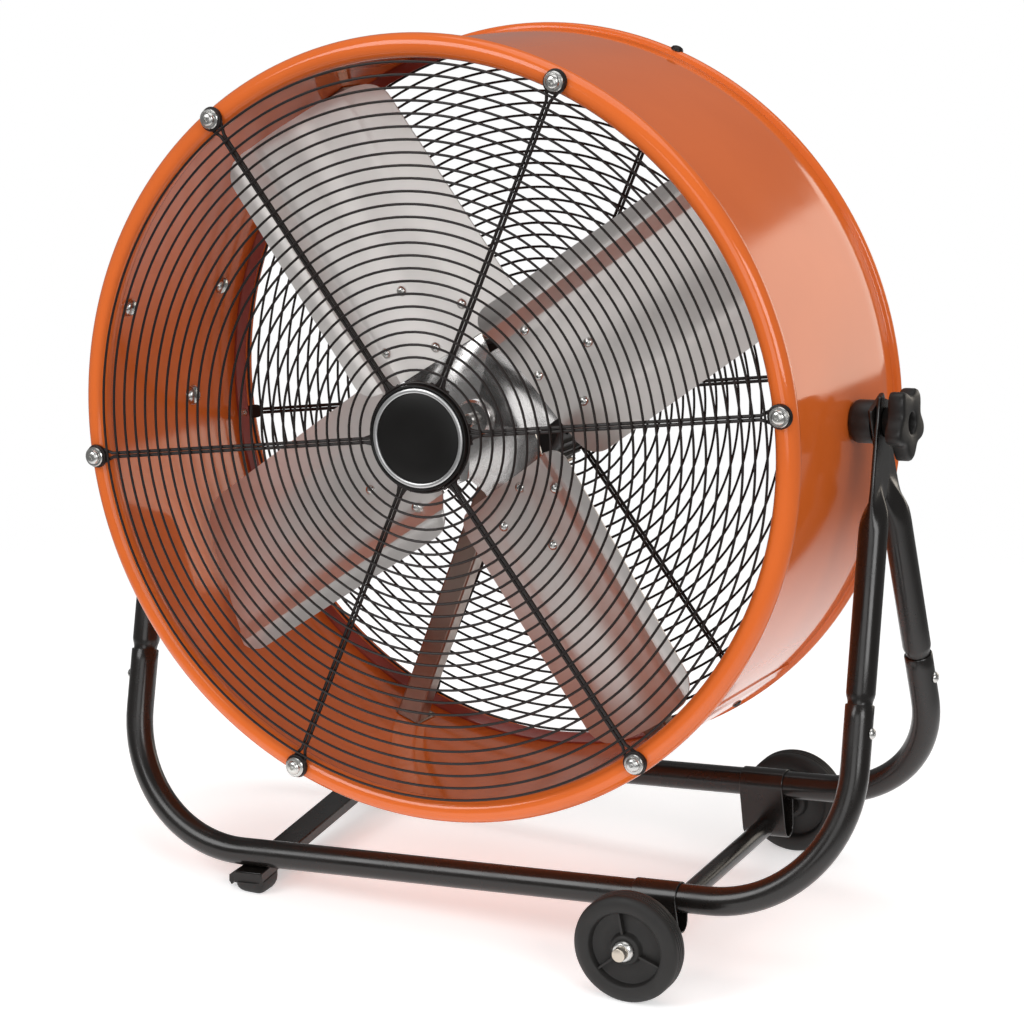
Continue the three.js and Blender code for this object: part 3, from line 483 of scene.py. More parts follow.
def depth(sv, u=90.0):
    k = min(max((u - 70.0) / 230.0, 0.0), 1.0)
    x = [q[0] for q in SECTION]
    return float(np.interp(sv, x, [q[1] for q in SECTION])) * (1 - k) + float(np.interp(sv, x, [q[2] for q in SECTION])) * k


def blade(t=1.5):
    """One blade along +X (outwards), across +Z (counter-clockwise), as a creased sheet with rounded corners."""
    cols = [-84, -78, -72, -66, -60, -54, -49, -47.4, -45.6, -44, -36, -24, -12, 0, 12, 24, 32, 40, 41.3, 42.7, 44, 48, 52.5, 53.6, 54.8, 56, 61, 66, 71]
    rows = np.concatenate([np.linspace(0, 0.1, 12)[:-1], np.linspace(0.1, 0.9, 9)[:-1], np.linspace(0.9, 1.0, 14)])
    s = Shape()
    lo_r, hi_r, lo_t, hi_t = -84.0, 71.0, -77.5, 67.5

    def corner(u, w_lo, w_hi, u0, u1):
        """Shrinks the half widths near both ends so that the corners are round."""
        out = []
        for w, rr, rt in ((w_lo, 20.0, 20.0), (w_hi, 18.0, 20.0)):
            x = w
            if u < u0 + rr:
                d = rr - (u - u0)
                x = math.copysign(abs(w) - (rr - math.sqrt(max(0, rr * rr - d * d))), w)
            if u > u1 - rt:
                d = rt - (u1 - u)
                x = math.copysign(abs(w) - (rt - math.sqrt(max(0, rt * rt - d * d))), w)
            out.append(x)
        return out

    front, back = [], []
    for b in rows:
        u_mid = ROOT_U + (TIP_R - ROOT_U) * b
        lo, hi = lo_r + (lo_t - lo_r) * b, hi_r + (hi_t - hi_r) * b
        lo, hi = corner(u_mid, lo, hi, ROOT_U, TIP_R)
        rf, rb = [], []
        for c in cols:
            sv = min(max(c, lo), hi)
            u = u_mid
            if b > 0.5:
                u = u_mid - (TIP_R - math.sqrt(TIP_R ** 2 - sv * sv)) * ((b - 0.5) * 2)
            y = depth(sv, u)
            rf.append((u, y, sv))
            rb.append((u, y + t, sv))
        front.append(rf)
        back.append(rb)
    nr, nc = len(front), len(cols)
    s.v = [p for r in front for p in r] + [p for r in back for p in r]
    o = nr * nc
    for i in range(nr - 1):
        for j in range(nc - 1):
            s.f.append((i * nc + j, (i + 1) * nc + j, (i + 1) * nc + j + 1, i * nc + j + 1))
            s.f.append((o + i * nc + j, o + i * nc + j + 1, o + (i + 1) * nc + j + 1, o + (i + 1) * nc + j))
    for i in range(nr - 1):
        for j in (0, nc - 1):
            s.f.append((i * nc + j, (i + 1) * nc + j, o + (i + 1) * nc + j, o + i * nc + j))
    for j in range(nc - 1):
        for i in (0, nr - 1):
            s.f.append((i * nc + j, i * nc + j + 1, o + i * nc + j + 1, o + i * nc + j))
    return s


def clean(o):
    """Drops the faces that collapsed where the corners were rounded."""
    bm = bmesh.new()
    bm.from_mesh(o.data)
    bmesh.ops.remove_doubles(bm, verts=bm.verts, dist=2e-6)
    bmesh.ops.dissolve_degenerate(bm, edges=bm.edges, dist=1e-6)
    bmesh.ops.recalc_face_normals(bm, faces=bm.faces)
    for f in bm.faces:
        f.smooth = True
    for e in bm.edges:
        e.smooth = not (len(e.link_faces) == 2 and e.calc_face_angle(0) > RAD(24))
    bm.to_mesh(o.data)
    bm.free()
    return o


RIVETS = [(129.5, 0.0), (71.8, 0.5), (90.4, 37.5), (91.4, -38.4)]
for k, deg in enumerate(BLADE_ANGLES):
    turn = MD @ Matrix.Rotation(-RAD(deg), 4, "Y")
    clean(piece("fan_blade_%d" % (k + 1), blade(), turn, "fan_wheel", ALU, "blade_%d" % (k + 1)))
    s = Shape()
    for u, sv in RIVETS:
        y = depth(sv, u)
        slope = (depth(sv + 1, u) - depth(sv - 1, u)) / 2
        tilt = Matrix.Translation((u, y, sv)) @ Matrix.Rotation(math.atan(slope), 4, "X")
        s.join(lathe([(0, -3.3), (1.9, -3.0), (3.6, -2.1), (4.6, -0.9), (4.9, -0.2), (4.9, 0.3), (0, 0.3)], 18, closed=False).moved(tilt))
    piece("blade_rivets_%d" % (k + 1), s, turn, "fan_wheel", ZINC, ())

# the stamped spider that carries the blades
spider = Shape()
for deg in BLADE_ANGLES:
    us = [10, 16, 22, 28, 34, 40, 46, 52, 58, 64, 70, 76, 84, 96, 110, 128, 134, 137]
    vs = np.linspace(-1, 1, 15)
    f, b = [], []
    for u in us:
        if u < 40:
            w = u * 1.0 + 0.5
        elif u < 60:
            w = 40.5 - (u - 40) * 0.10
        elif u < 84:
            w = 38.5 + (u - 60) * 0.35
        else:
            w = 46.9 - (u - 84) * 0.28
        if u > 128:
            w -= (u - 128) ** 2 * 0.16
        k = np.clip((u - 30) / 42, 0, 1)
        k = k * k * (3 - 2 * k)
        rf = []
        for v in vs:
            sv = v * w
            # the middle is dished, the arm lies flat against the back of its blade
            y = (HUB_Y - 9 + 0.0055 * (u - 10) ** 2) * (1 - k) + (depth(np.clip(sv, -43, 38), max(u, 70)) + 2.0 + max(0, sv - 38) * -0.5 + min(0, sv + 43) * -0.35) * k
            rf.append((u, y, sv))
        f.append(rf)
    nr, nc = len(f), len(vs)
    t = Shape()
    t.v = [p for r in f for p in r] + [(x, y + 2.0, z) for r in f for x, y, z in r]
    o = nr * nc
    for i in range(nr - 1):
        for j in range(nc - 1):
            t.f.append((i * nc + j, (i + 1) * nc + j, (i + 1) * nc + j + 1, i * nc + j + 1))
            t.f.append((o + i * nc + j, o + i * nc + j + 1, o + (i + 1) * nc + j + 1, o + (i + 1) * nc + j))
        for j in (0, nc - 1):
            t.f.append((i * nc + j, (i + 1) * nc + j, o + (i + 1) * nc + j, o + i * nc + j))
    for j in range(nc - 1):
        for i in (0, nr - 1):
            t.f.append((i * nc + j, i * nc + j + 1, o + i * nc + j + 1, o + i * nc + j))
    spider.join(t.moved(Matrix.Rotation(-RAD(deg), 4, "Y")))
spider.join(lathe([(6.2, HUB_Y - 16), (15, HUB_Y - 16), (17, HUB_Y - 14), (17, HUB_Y - 6), (23, HUB_Y - 4), (23, HUB_Y + 10), (6.2, HUB_Y + 10)], 40))
piece("fan_spider", spider, MD, "fan_wheel", SPIDER, "hub_spider", sharp=30)
piece("fan_shaft", lathe([(0, HUB_Y - 24), (4.9, HUB_Y - 24), (5.9, HUB_Y - 23), (5.9, -8), (0, -8)], 24, closed=False), MD, "fan_wheel", STEEL, "motor_shaft")

# ---------------------------------------------------------------- motor and struts
s = lathe([(0, 80), (0, 80.01), (30, 80), (52, 76.5), (60, 71), (62, 67), (62, 64), (60.4, 63), (60.4, -2), (62, -3), (62, -8), (59, -14), (50, -17), (24, -20), (21, -24), (7, -24), (7, -14), (0, -14)], 72, closed=False)
for i in range(36):
    a = 10.0 * i
    fin = slab([(58.5, -1.3), (63.4, -1.0), (63.4, 1.0), (58.5, 1.3)], 62)
    s.join(fin.moved(Matrix.Rotation(-RAD(a), 4, "Y") @ Matrix.Translation((0, 0.5, 0))))
piece("motor_body", s, MD, "drum", MOTOR, "motor_housing", sharp=30)

for i, deg in enumerate(STRUTS):
    r0, r1 = 64.0, WALL_R - WALL_T - 0.6
    s = Shape()
    # formed sheet: web with two turned edges
    sec = [(-11, 24.5), (-9.5, 23.0), (9.5, 23.0), (11, 24.5), (11, 42), (9.3, 42), (9.3, 25.2), (-9.3, 25.2), (-9.3, 42), (-11, 42)]
    n = len(sec)
    xs = [r0, r0 + 26, r1 - 34, r1 - 4, r1]
    scl = [1.25, 1.0, 1.0, 1.1, 1.1]
    s.v = [(x, y, z * k) for x, k in zip(xs, scl) for z, y in sec]
    for a in range(len(xs) - 1):
        for j in range(n):
            s.f.append((a * n + j, a * n + (j + 1) % n, (a + 1) * n + (j + 1) % n, (a + 1) * n + j))
    s.f += [tuple(range(n)), tuple(reversed(range((len(xs) - 1) * n, len(xs) * n)))]
    foot = Shape().join(slab([(r1 - 2.2, -13), (r1, -13), (r1, 13), (r1 - 2.2, 13)], 34).moved(Matrix.Translation((0, 24, 0))))
    foot.join(slab([(r0 - 1.2, -14), (r0 + 1.6, -14), (r0 + 1.6, 14), (r0 - 1.2, 14)], 36).moved(Matrix.Translation((0, 23, 0))))
    s.join(foot)
    for z in (-7, 7):
        s.join(lathe([(0, r1 - 5.4), (2.5, r1 - 5.2), (4.2, r1 - 4.2), (4.6, r1 - 2.3), (0, r1 - 2.3)], 14, closed=False, axis="x", centre=(0, 49, z)))
    o = piece("strut_%d" % (i + 1), s, MD @ Matrix.Rotation(-RAD(deg), 4, "Y"), "drum", STRUT, "motor_strut_%d" % (i + 1), sharp=30)
    bevel(o, 0.6)

# ---------------------------------------------------------------- pivots, knobs
def mirrored(shape, side):
    return shape if side > 0 else shape.moved(Matrix.Rotation(math.pi, 4, "Z"))


def star_knob():
    """Five-lobed clamp knob along +X: neck, crowned lobes, sunk centre."""
    s = Shape()
    n = 120

    def outline(scale, inset=0.0):
        pts = []
        for i in range(n):
            t = 2 * math.pi * i / n
            c = math.cos(5 * t)
            r = 27.9 + 4.35 * c + 0.15 * math.cos(10 * t)
            r = r * scale - inset
            pts.append((r * math.cos(t), r * math.sin(t)))
        return pts

    rows = [(365.4, outline(0.93, 1.2)), (366.4, outline(0.985, 0.0)), (368.2, outline(1.0)), (376.2, outline(1.0)), (378.4, outline(0.97)), (379.7, outline(0.91)), (380.3, outline(0.80)), (380.2, [(12.0 * math.cos(2 * math.pi * i / n), 12.0 * math.sin(2 * math.pi * i / n)) for i in range(n)]),
            (379.6, [(9.9 * math.cos(2 * math.pi * i / n), 9.9 * math.sin(2 * math.pi * i / n)) for i in range(n)]), (378.6, [(9.3 * math.cos(2 * math.pi * i / n), 9.3 * math.sin(2 * math.pi * i / n)) for i in range(n)]), (372.6, [(9.0 * math.cos(2 * math.pi * i / n), 9.0 * math.sin(2 * math.pi * i / n)) for i in range(n)])]
    back = [(365.4, [(14.2 * math.cos(2 * math.pi * i / n), 14.2 * math.sin(2 * math.pi * i / n)) for i in range(n)]), (364.0, [(13.0 * math.cos(2 * math.pi * i / n), 13.0 * math.sin(2 * math.pi * i / n)) for i in range(n)]), (357.2, [(12.8 * math.cos(2 * math.pi * i / n), 12.8 * math.sin(2 * math.pi * i / n)) for i in range(n)]), (356.7, [(12.2 * math.cos(2 * math.pi * i / n), 12.2 * math.sin(2 * math.pi * i / n)) for i in range(n)])]
    allr = list(reversed(back)) + rows
    for x, pts in allr:
        s.v += [(x, a, b) for a, b in pts]
    for k in range(len(allr) - 1):
        for i in range(n):
            j = (i + 1) % n
            s.f.append((k * n + i, k * n + j, (k + 1) * n + j, (k + 1) * n + i))
    s.f += [tuple(range(n)), tuple(reversed(range((len(allr) - 1) * n, len(allr) * n)))]
    return s


for side, tag in ((1, "right"), (-1, "left")):
    sp = lathe([(4.6, 328.1), (15.5, 328.1), (17.6, 330.0), (18.5, 332.6), (18.5, 346.0), (17.9, 347.6), (4.6, 347.7)], 64, axis="x")
    piece("spacer_" + tag, mirrored(sp, side), MD, "drum", PLASTIC, "pivot_spacer_" + tag)
    bo = lathe([(0, 319.4), (4.0, 319.8), (7.2, 321.2), (8.9, 323.6), (9.1, 325.2), (4.0, 325.3), (4.0, 371.5), (0, 371.5)], 28, closed=False, axis="x")
    piece("carriage_bolt_" + tag, mirrored(bo, side), MD, "drum", ZINC, "pivot_bolt_" + tag)
    piece("star_knob_" + tag, mirrored(star_knob().moved(Matrix.Rotation(RAD(-20), 4, "X")), side), MD, "%s_clamp_knob" % tag, PLASTIC, "knob_" + tag, sharp=55)


# ---------------------------------------------------------------- stand
def joint(bar):
    return JOINT_S if bar is FRONT_BAR else JOINT_S - 5.5


def bar_frame(bar):
    by, bz = bar
    ln = math.hypot(by, bz)
    return ln, np.array([0.0, by / ln, bz / ln])


def floor_frame(bar, bend):
    ln, u = bar_frame(bar)
    js = joint(bar)
    at = lambda x, sv: np.array([x, 0, 0]) + u * sv
    pts = [at(LEG_X, js + 0.3), at(LEG_X, js + 1.2)] + [at(LEG_X, sv) for sv in np.linspace(js + 12, ln - bend - 6, 5)]
    for i in range(25):
        a = math.pi / 2 * i / 24
        pts.append(at(LEG_X - bend + bend * math.cos(a), ln - bend + bend * math.sin(a)))
    pts += [at(x, ln) for x in np.linspace(LEG_X - bend - 20, -LEG_X + bend + 20, 9)]
    for i in range(25):
        a = math.pi / 2 * i / 24
        pts.append(at(-LEG_X + bend - bend * math.sin(a), ln - bend + bend * math.cos(a)))
    pts += [at(-LEG_X, sv) for sv in np.linspace(ln - bend - 6, js + 12, 5)] + [at(-LEG_X, js + 1.2), at(-LEG_X, js + 0.3)]
    r = np.full(len(pts), TUBE_R)
    r[0] = r[-1] = TUBE_R - 0.7
    s = tube(pts, r, 32, cap=False, up=tuple(np.cross(u, (1, 0, 0))))
    # the open mouths of the sleeves
    n = 32
    for end in (0, len(pts) - 1):
        base = end * n
        c = np.array(pts[end])
        rows = [list(range(base, base + n))]
        for rr, dd in ((TUBE_R - 1.6, 0.0), (TUBE_R - 1.9, 14.0)):
            ids = []
            for i in range(n):
                v = np.array(s.v[base + i]) - c
                v = v / np.linalg.norm(v) * rr
                ids.append(len(s.v))
                s.v.append(tuple(c + v + u * dd))
            rows.append(ids)
        for a, b in zip(rows[:-1], rows[1:]):
            for i in range(n):
                j = (i + 1) % n
                s.f.append((a[i], a[j], b[j], b[i]))
        s.f.append(tuple(rows[-1]))
    return s


piece("frame_front", floor_frame(FRONT_BAR, 122.0), MS, "stand", BLACK, "floor_frame_front", sharp=40)
piece("frame_rear", floor_frame(REAR_BAR, 108.0), MS, "stand", BLACK, "floor_frame_rear", sharp=40)


def smooth(x):
    x = min(max(x, 0.0), 1.0)
    return x * x * (3 - 2 * x)


def upper_leg(bar, side, off):
    """A tube pressed flat at the pivot, with a pointed dimple where the flat runs out, and a swaged lower end."""
    ln, u = bar_frame(bar)
    js = joint(bar)
    v = np.cross(u, (1, 0, 0))
    n = 48
    st = [-19.2, -18.6, -17.0, -10, 0, 12, 24, 36, 44, 50, 54, 58, 62, 66, 70, 75, 80, 86, 92, 98, 106, 130, 160, 200, js - 9, js - 6.5, js - 4, js - 2, js - 0.8, js + 0.5, js + 30]
    s = Shape()
    for sv in st:
        k = smooth((sv - 50) / 46)
        half_w = 17.6 + (TUBE_R - 17.6) * smooth((sv - 46) / 56)
        if sv < -16:
            half_w -= (-16 - sv) * 0.5
        for i in range(n):
            t = 2 * math.pi * i / n
            cx, cw = math.cos(t), math.sin(t)
            # flat end: a thin rounded plate
            flat_t = 1.95 * np.sign(cx) * min(1.0, abs(cx) * 2.6)
            # the tube opens from its middle outwards, so the crease climbs to a point
            open_k = smooth((sv - (50 + 22 * (1 - abs(cw)) * 0.0 + 20 * abs(cw))) / 30)
            kk = max(0.0, min(1.0, 0.35 * k + 0.65 * open_k))
            x = flat_t * (1 - kk) + TUBE_R * cx * kk
            w = half_w * cw
            if sv > js - 9:
                q = smooth((sv - (js - 9)) / 8.2)
                rr = TUBE_R + (10.7 - TUBE_R) * q
                x, w = rr * cx, rr * cw
            o = off * (1 - smooth((sv - 50) / 50))
            p = np.array([side * (LEG_X + o) + x, 0, 0]) + v * w + u * sv
            s.v.append(tuple(p))
    m = len(st)
    for k in range(m - 1):
        for i in range(n):
            j = (i + 1) % n
            s.f.append((k * n + i, k * n + j, (k + 1) * n + j, (k + 1) * n + i))
    s.f += [tuple(range(n)), tuple(reversed(range((m - 1) * n, m * n)))]
    return s


for nm, bar, off in (("front", FRONT_BAR, 2.15), ("rear", REAR_BAR, -2.15)):
    for side, tag in ((1, "right"), (-1, "left")):
        piece("upright_%s_%s" % (nm, tag), upper_leg(bar, side, off), MS, "stand", BLACK, "leg_%s_%s" % (nm, tag), sharp=48)
        ln, u = bar_frame(bar)
        c = u * (joint(bar) + 24)
        sc = dome_screw(5.0, 3.3, 4.4, 22).moved(Matrix.Translation((side * (LEG_X + TUBE_R - 0.2), c[1], c[2])) @ Matrix.Rotation(RAD(90) * side, 4, "Z"))
        piece("upright_screw_%s_%s" % (nm, tag), sc, MS, "stand", ZINC, "leg_screw_%s_%s" % (nm, tag))

# axle: black tube, plain rod ends
tf, tr = WHEEL_FRONT + WHEEL_W + 0.8, WHEEL_REAR - 0.8
rf, rr_ = WHEEL_FRONT - 11, WHEEL_REAR + WHEEL_W + 11
ax = lathe([(0, tf - 0.2), (ROD_R + 0.1, tf - 0.2), (AXLE_R - 0.5, tf), (AXLE_R, tf + 0.6), (AXLE_R, tr - 0.6), (AXLE_R - 0.5, tr), (ROD_R + 0.1, tr + 0.2), (0, tr + 0.2)], 36, closed=False, centre=(AXLE_X, 0, AXLE_Z))
piece("axle_tube", ax, MS, "stand", BLACK, "axle")
ro = lathe([(0, rf), (ROD_R - 1.0, rf), (ROD_R - 0.2, rf + 0.5), (ROD_R, rf + 1.2), (ROD_R, rr_ - 1.2), (ROD_R - 0.2, rr_ - 0.5), (ROD_R - 1.0, rr_), (0, rr_)], 32, closed=False, centre=(AXLE_X, 0, AXLE_Z))
piece("axle_rod", ro, MS, "stand", PIN, ())


def strap(bar):
    """The bent strap that hangs the axle under a floor bar."""
    by, bz = bar
    s = Shape()

    def hull(r1, r2, n):
        d = bz - AXLE_Z
        k = math.acos((r1 - r2) / d)
        pts = []
        for i in range(n + 1):
            a = -math.pi / 2 + k + (2 * math.pi - 2 * k) * i / n
            pts.append((by + r1 * math.cos(a), bz + r1 * math.sin(a)))
        for i in range(n + 1):
            a = -math.pi / 2 - k + 2 * k * i / n
            pts.append((by + r2 * math.cos(a), AXLE_Z + r2 * math.sin(a)))
        return pts

    outer, inner = hull(TUBE_R + 1.5, AXLE_R + 1.9, 26), hull(TUBE_R + 0.2, AXLE_R + 0.3, 26)
    n = len(outer)
    x0, x1 = AXLE_X - 21, AXLE_X + 21
    for x in (x0, x1):
        s.v += [(x, y, z) for y, z in outer] + [(x, y, z) for y, z in inner]
    for i in range(n):
        j = (i + 1) % n
        s.f.append((i, j, n + j, n + i))
        s.f.append((2 * n + j, 2 * n + i, 3 * n + i, 3 * n + j))
        s.f.append((j, i, 2 * n + i, 2 * n + j))
        s.f.append((n + i, n + j, 3 * n + j, 3 * n + i))
    return s


for nm, bar in (("front", FRONT_BAR), ("rear", REAR_BAR)):
    bevel(piece("axle_strap_" + nm, strap(bar), MS, "stand", BLACK, "axle_bracket_" + nm, sharp=35), 0.7)


def wheel(face, flip):
    """Moulded wheel: grooved tread, sunk face with three ribs, hub."""
    w, R = WHEEL_W, WHEEL_R
    pr = [(ROD_R + 0.4, 0.6), (10.8, 0.6), (12.6, 1.3), (13.6, 3.0), (14.4, 7.2), (15.2, 7.9), (30.4, 7.9), (31.6, 7.2), (32.8, 2.2), (33.8, 0.9), (36.5, 0.2), (40.0, 0.0), (42.6, 0.6), (R - 2.0, 1.9), (R - 0.6, 3.6), (R, 5.6)]
    for g in (7.2, 10.6, 14.0):
        pr += [(R, g), (R - 0.9, g + 0.35), (R - 0.9, g + 1.15), (R, g + 1.5)]
    pr += [(R, w - 5.6), (R - 0.6, w - 3.6), (R - 2.0, w - 1.9), (42.6, w - 0.6), (40.0, w), (36.5, w - 0.2), (33.8, w - 0.9), (32.8, w - 2.2), (31.6, w - 7.2), (30.4, w - 7.9), (15.2, w - 7.9), (14.4, w - 7.2), (13.6, w - 3.0), (12.6, w - 1.3), (10.8, w - 0.4), (ROD_R + 0.4, w - 0.4)]
    s = lathe(pr, 96)
    for side in (0, 1):
        for k in range(3):
            a = 97 + 120 * k
            rib = slab([(12.0, -1.1), (32.4, -0.9), (32.4, 0.9), (12.0, 1.1)], 5.6)
            y0 = 2.9 if side == 0 else w - 2.9 - 5.6
            s.join(rib.moved(Matrix.Rotation(-RAD(a), 4, "Y") @ Matrix.Translation((0, y0, 0))))
    if flip:
        s = s.moved(Matrix.Translation((0, w, 0)) @ Matrix.Rotation(math.pi, 4, "X"))
    return s.moved(Matrix.Translation((AXLE_X, face, AXLE_Z)))


piece("floor_wheel_front", wheel(WHEEL_FRONT, False), MS, "front_floor_wheel", RUBBER, "wheel_front", sharp=42)
piece("floor_wheel_rear", wheel(WHEEL_REAR, True), MS, "rear_floor_wheel", RUBBER, "wheel_rear", sharp=42)


def push_nut():
    return lathe([(ROD_R + 0.1, -0.4), (9.4, -0.4), (9.9, -0.8), (9.9, -1.6), (9.2, -2.6), (8.0, -4.6), (7.3, -5.0), (ROD_R + 0.1, -5.0)], 36)


piece("push_nut_front", push_nut().moved(Matrix.Translation((AXLE_X, WHEEL_FRONT + 0.6, AXLE_Z))), MS, "stand", ZINC, "axle_nut_front")
piece("push_nut_rear", push_nut().moved(Matrix.Translation((AXLE_X, WHEEL_REAR + WHEEL_W - 0.6, AXLE_Z)) @ Matrix.Rotation(math.pi, 4, "Z")), MS, "stand", ZINC, "axle_nut_rear")

# foot bar and pads
fdy, fdz = REAR_BAR[0] - FRONT_BAR[0], REAR_BAR[1] - FRONT_BAR[1]
fa, fl = math.atan2(fdz, fdy), math.hypot(fdy, fdz)
f0, f1 = -16.0, fl + 22.0
sec = [(-14, -0.8), (-13.2, 0), (13.2, 0), (14, -0.8), (14, -FOOT_H), (12.2, -FOOT_H), (12.2, -1.9), (-12.2, -1.9), (-12.2, -FOOT_H), (-14, -FOOT_H)]
s = slab([(x, z - TUBE_R - 0.3) for x, z in sec], f1 - f0)
s = s.moved(Matrix.Translation((FOOT_X, FRONT_BAR[0], FRONT_BAR[1])) @ Matrix.Rotation(fa, 4, "X") @ Matrix.Translation((0, f0, 0)))
bevel(piece("foot_channel", s, MS, "stand", BLACK, "foot_bar"), 0.5)
floor_s = (-PIVOT.z) / math.cos(RAD(LEAN))


def floor_z(x):
    return (-PIVOT.z - x * math.sin(RAD(LEAN))) / math.cos(RAD(LEAN))


def pad(s0, s1, end):
    """Rubber foot: a moulded block whose sole lies on the floor, with a hooked lip at its side."""
    s = Shape()
    y0, y1 = FRONT_BAR[0] + s0 * math.cos(fa), FRONT_BAR[0] + s1 * math.cos(fa)
    rows = []
    sides = 28
    for t in (0.0, 0.10, 0.35, 0.6, 0.82, 0.95, 1.0):
        ring = []
        for i in range(sides):
            a = 2 * math.pi * i / sides
            cx, cy = math.cos(a), math.sin(a)
            q = 0.42
            cx, cy = np.sign(cx) * abs(cx) ** q, np.sign(cy) * abs(cy) ** q
            shrink = 1 - 0.04 * t - 0.24 * t ** 4
            x = FOOT_X + 14.6 * cx * shrink
            y = (y0 + y1) / 2 + (y1 - y0) / 2 * cy * shrink
            top = FRONT_BAR[1] - (TUBE_R + 0.6 + FOOT_H) / math.cos(fa) + (y - FRONT_BAR[0]) * math.tan(fa) + 0.2
            z = top + (floor_z(x) + 0.02 - top) * t
            ring.append((x, y, z))
        rows.append(ring)
    s.v = [p for r in rows for p in r]
    for k in range(len(rows) - 1):
        for i in range(sides):
            j = (i + 1) % sides
            s.f.append((k * sides + i, k * sides + j, (k + 1) * sides + j, (k + 1) * sides + i))
    s.f += [tuple(range(sides)), tuple(reversed(range((len(rows) - 1) * sides, len(rows) * sides)))]
    # hooked lip on the outer side
    ym = (y0 + y1) / 2
    zt = FRONT_BAR[1] - (TUBE_R + 3.0) + (ym - FRONT_BAR[0]) * math.tan(fa)
    lip = slab([(-14.2, 0.0), (-15.6, 0.8), (-24.0, -5.0), (-24.6, -11.2), (-22.4, -14.6), (-19.4, -10.6), (-14.2, -7.2)], (y1 - y0) * 0.5)
    s.join(lip.moved(Matrix.Translation((FOOT_X, ym - (y1 - y0) * 0.25, zt))))
    # a wall over the open end of the bar
    e = f0 - 1.9 if end == 0 else f1 + 0.2
    wall = slab([(-13.2, -TUBE_R - 0.6), (13.2, -TUBE_R - 0.6), (14.4, -TUBE_R - 2), (14.4, -TUBE_R - FOOT_H - 2), (-14.4, -TUBE_R - FOOT_H - 2), (-14.4, -TUBE_R - 2)], 1.7)
    s.join(wall.moved(Matrix.Translation((FOOT_X, FRONT_BAR[0], FRONT_BAR[1])) @ Matrix.Rotation(fa, 4, "X") @ Matrix.Translation((0, e, 0))))
    return s


bevel(piece("foot_rubber_front", pad(-18, 18, 0), MS, "stand", RUBBER, "foot_pad_front", sharp=40), 0.8)
bevel(piece("foot_rubber_rear", pad(f1 - 34, f1 + 2, 1), MS, "stand", RUBBER, "foot_pad_rear", sharp=40), 0.8)

# ---------------------------------------------------------------- handle, switch
HA, HY = 162.5, (-121.0, 37.0)
path = [(WALL_R + 9, -116), (WALL_R + 22, -108), (WALL_R + 31, -94), (WALL_R + 33, -76), (WALL_R + 33, -8), (WALL_R + 31, 10), (WALL_R + 22, 24), (WALL_R + 9, 32)]


def spline(pts, n=10):
    """A smooth line through the points."""
    p = np.array(pts, float)
    out = []
    q = np.vstack([2 * p[0] - p[1], p, 2 * p[-1] - p[-2]])
    for i in range(len(p) - 1):
        a, b, c, d = q[i], q[i + 1], q[i + 2], q[i + 3]
        for t in np.linspace(0, 1, n, endpoint=False):
            out.append(0.5 * ((2 * b) + (-a + c) * t + (2 * a - 5 * b + 4 * c - d) * t * t + (-a + 3 * b - 3 * c + d) * t ** 3))
    out.append(p[-1])
    return np.array(out)


line = spline([(r, y, 0) for r, y in path], 6)
hs = tube(line, 5.4, 20, up=(0, 0, 1))
for y in HY:
    ft = slab([(WALL_R + 1.0, -9), (WALL_R + 1.0, 9), (WALL_R + 4, 10), (WALL_R + 8, 9), (WALL_R + 11, 5.5), (WALL_R + 11, -5.5), (WALL_R + 8, -9), (WALL_R + 4, -10)], 26)
    hs.join(ft.moved(Matrix.Translation((0, y - 13, 0))))
bevel(piece("handle_grip", hs, MD @ Matrix.Rotation(-RAD(HA), 4, "Y"), "drum", PLASTIC, "carry_handle", sharp=40), 1.2, 3)
for y, nm in zip(HY, ("front", "rear")):
    hb = lathe([(0, 319.8), (3.6, 320.2), (6.4, 321.4), (7.8, 323.4), (8.0, 325.0), (3.0, 325.2), (3.0, 333), (0, 333)], 24, closed=False, axis="x", centre=(0, y, 0))
    piece("handle_bolt_head_" + nm, hb, MD @ Matrix.Rotation(-RAD(HA), 4, "Y"), "drum", ZINC, "handle_bolt_" + nm)

SB0 = 87.0
SB1 = SB0 + 40


def rounded_rect(w, h, r, n=6):
    pts = []
    for cx, cy, a0 in ((w - r, h - r, 0), (-w + r, h - r, 90), (-w + r, -h + r, 180), (w - r, -h + r, 270)):
        for i in range(n + 1):
            a = RAD(a0 + 90 * i / n)
            pts.append((cx + r * math.cos(a), cy + r * math.sin(a)))
    return pts


bx = slab(rounded_rect(43, 40, 7), SB1 - SB0 - 3).moved(Matrix.Translation((0, SB0, 0)))
lid = slab(rounded_rect(43, 40, 7), 2.6).moved(Matrix.Translation((0, SB1 - 2.6, 0)))
bx.join(lid)
for x, z in ((-35, -32), (35, -32), (-35, 32), (35, 32)):
    bx.join(lathe([(0, -2.0), (2.6, -1.7), (3.4, -0.6), (3.5, 0), (0, 0)], 16, closed=False).moved(Matrix.Translation((x, SB1, z)) @ Matrix.Rotation(math.pi, 4, "Z")))
bevel(piece("switch_housing", bx, MD, "drum", PLASTIC, "switch_box", sharp=40), 0.8, 2)
gl = lathe([(0, -40.4), (10, -40.4), (10, -46), (8.4, -47.5), (8.0, -55), (6.8, -56), (4.2, -56), (4.0, -46), (0, -46)], 30, closed=False, axis="z", centre=(0, SB0 + 20, 0))
piece("cord_inlet", gl, MD, "drum", PLASTIC, "cord_gland")
dial = lathe([(0, 4.2), (11, 4.2), (16.4, 3.8), (17.0, 2.8), (17.0, 0.4), (0, 0.4)], 48, closed=False)
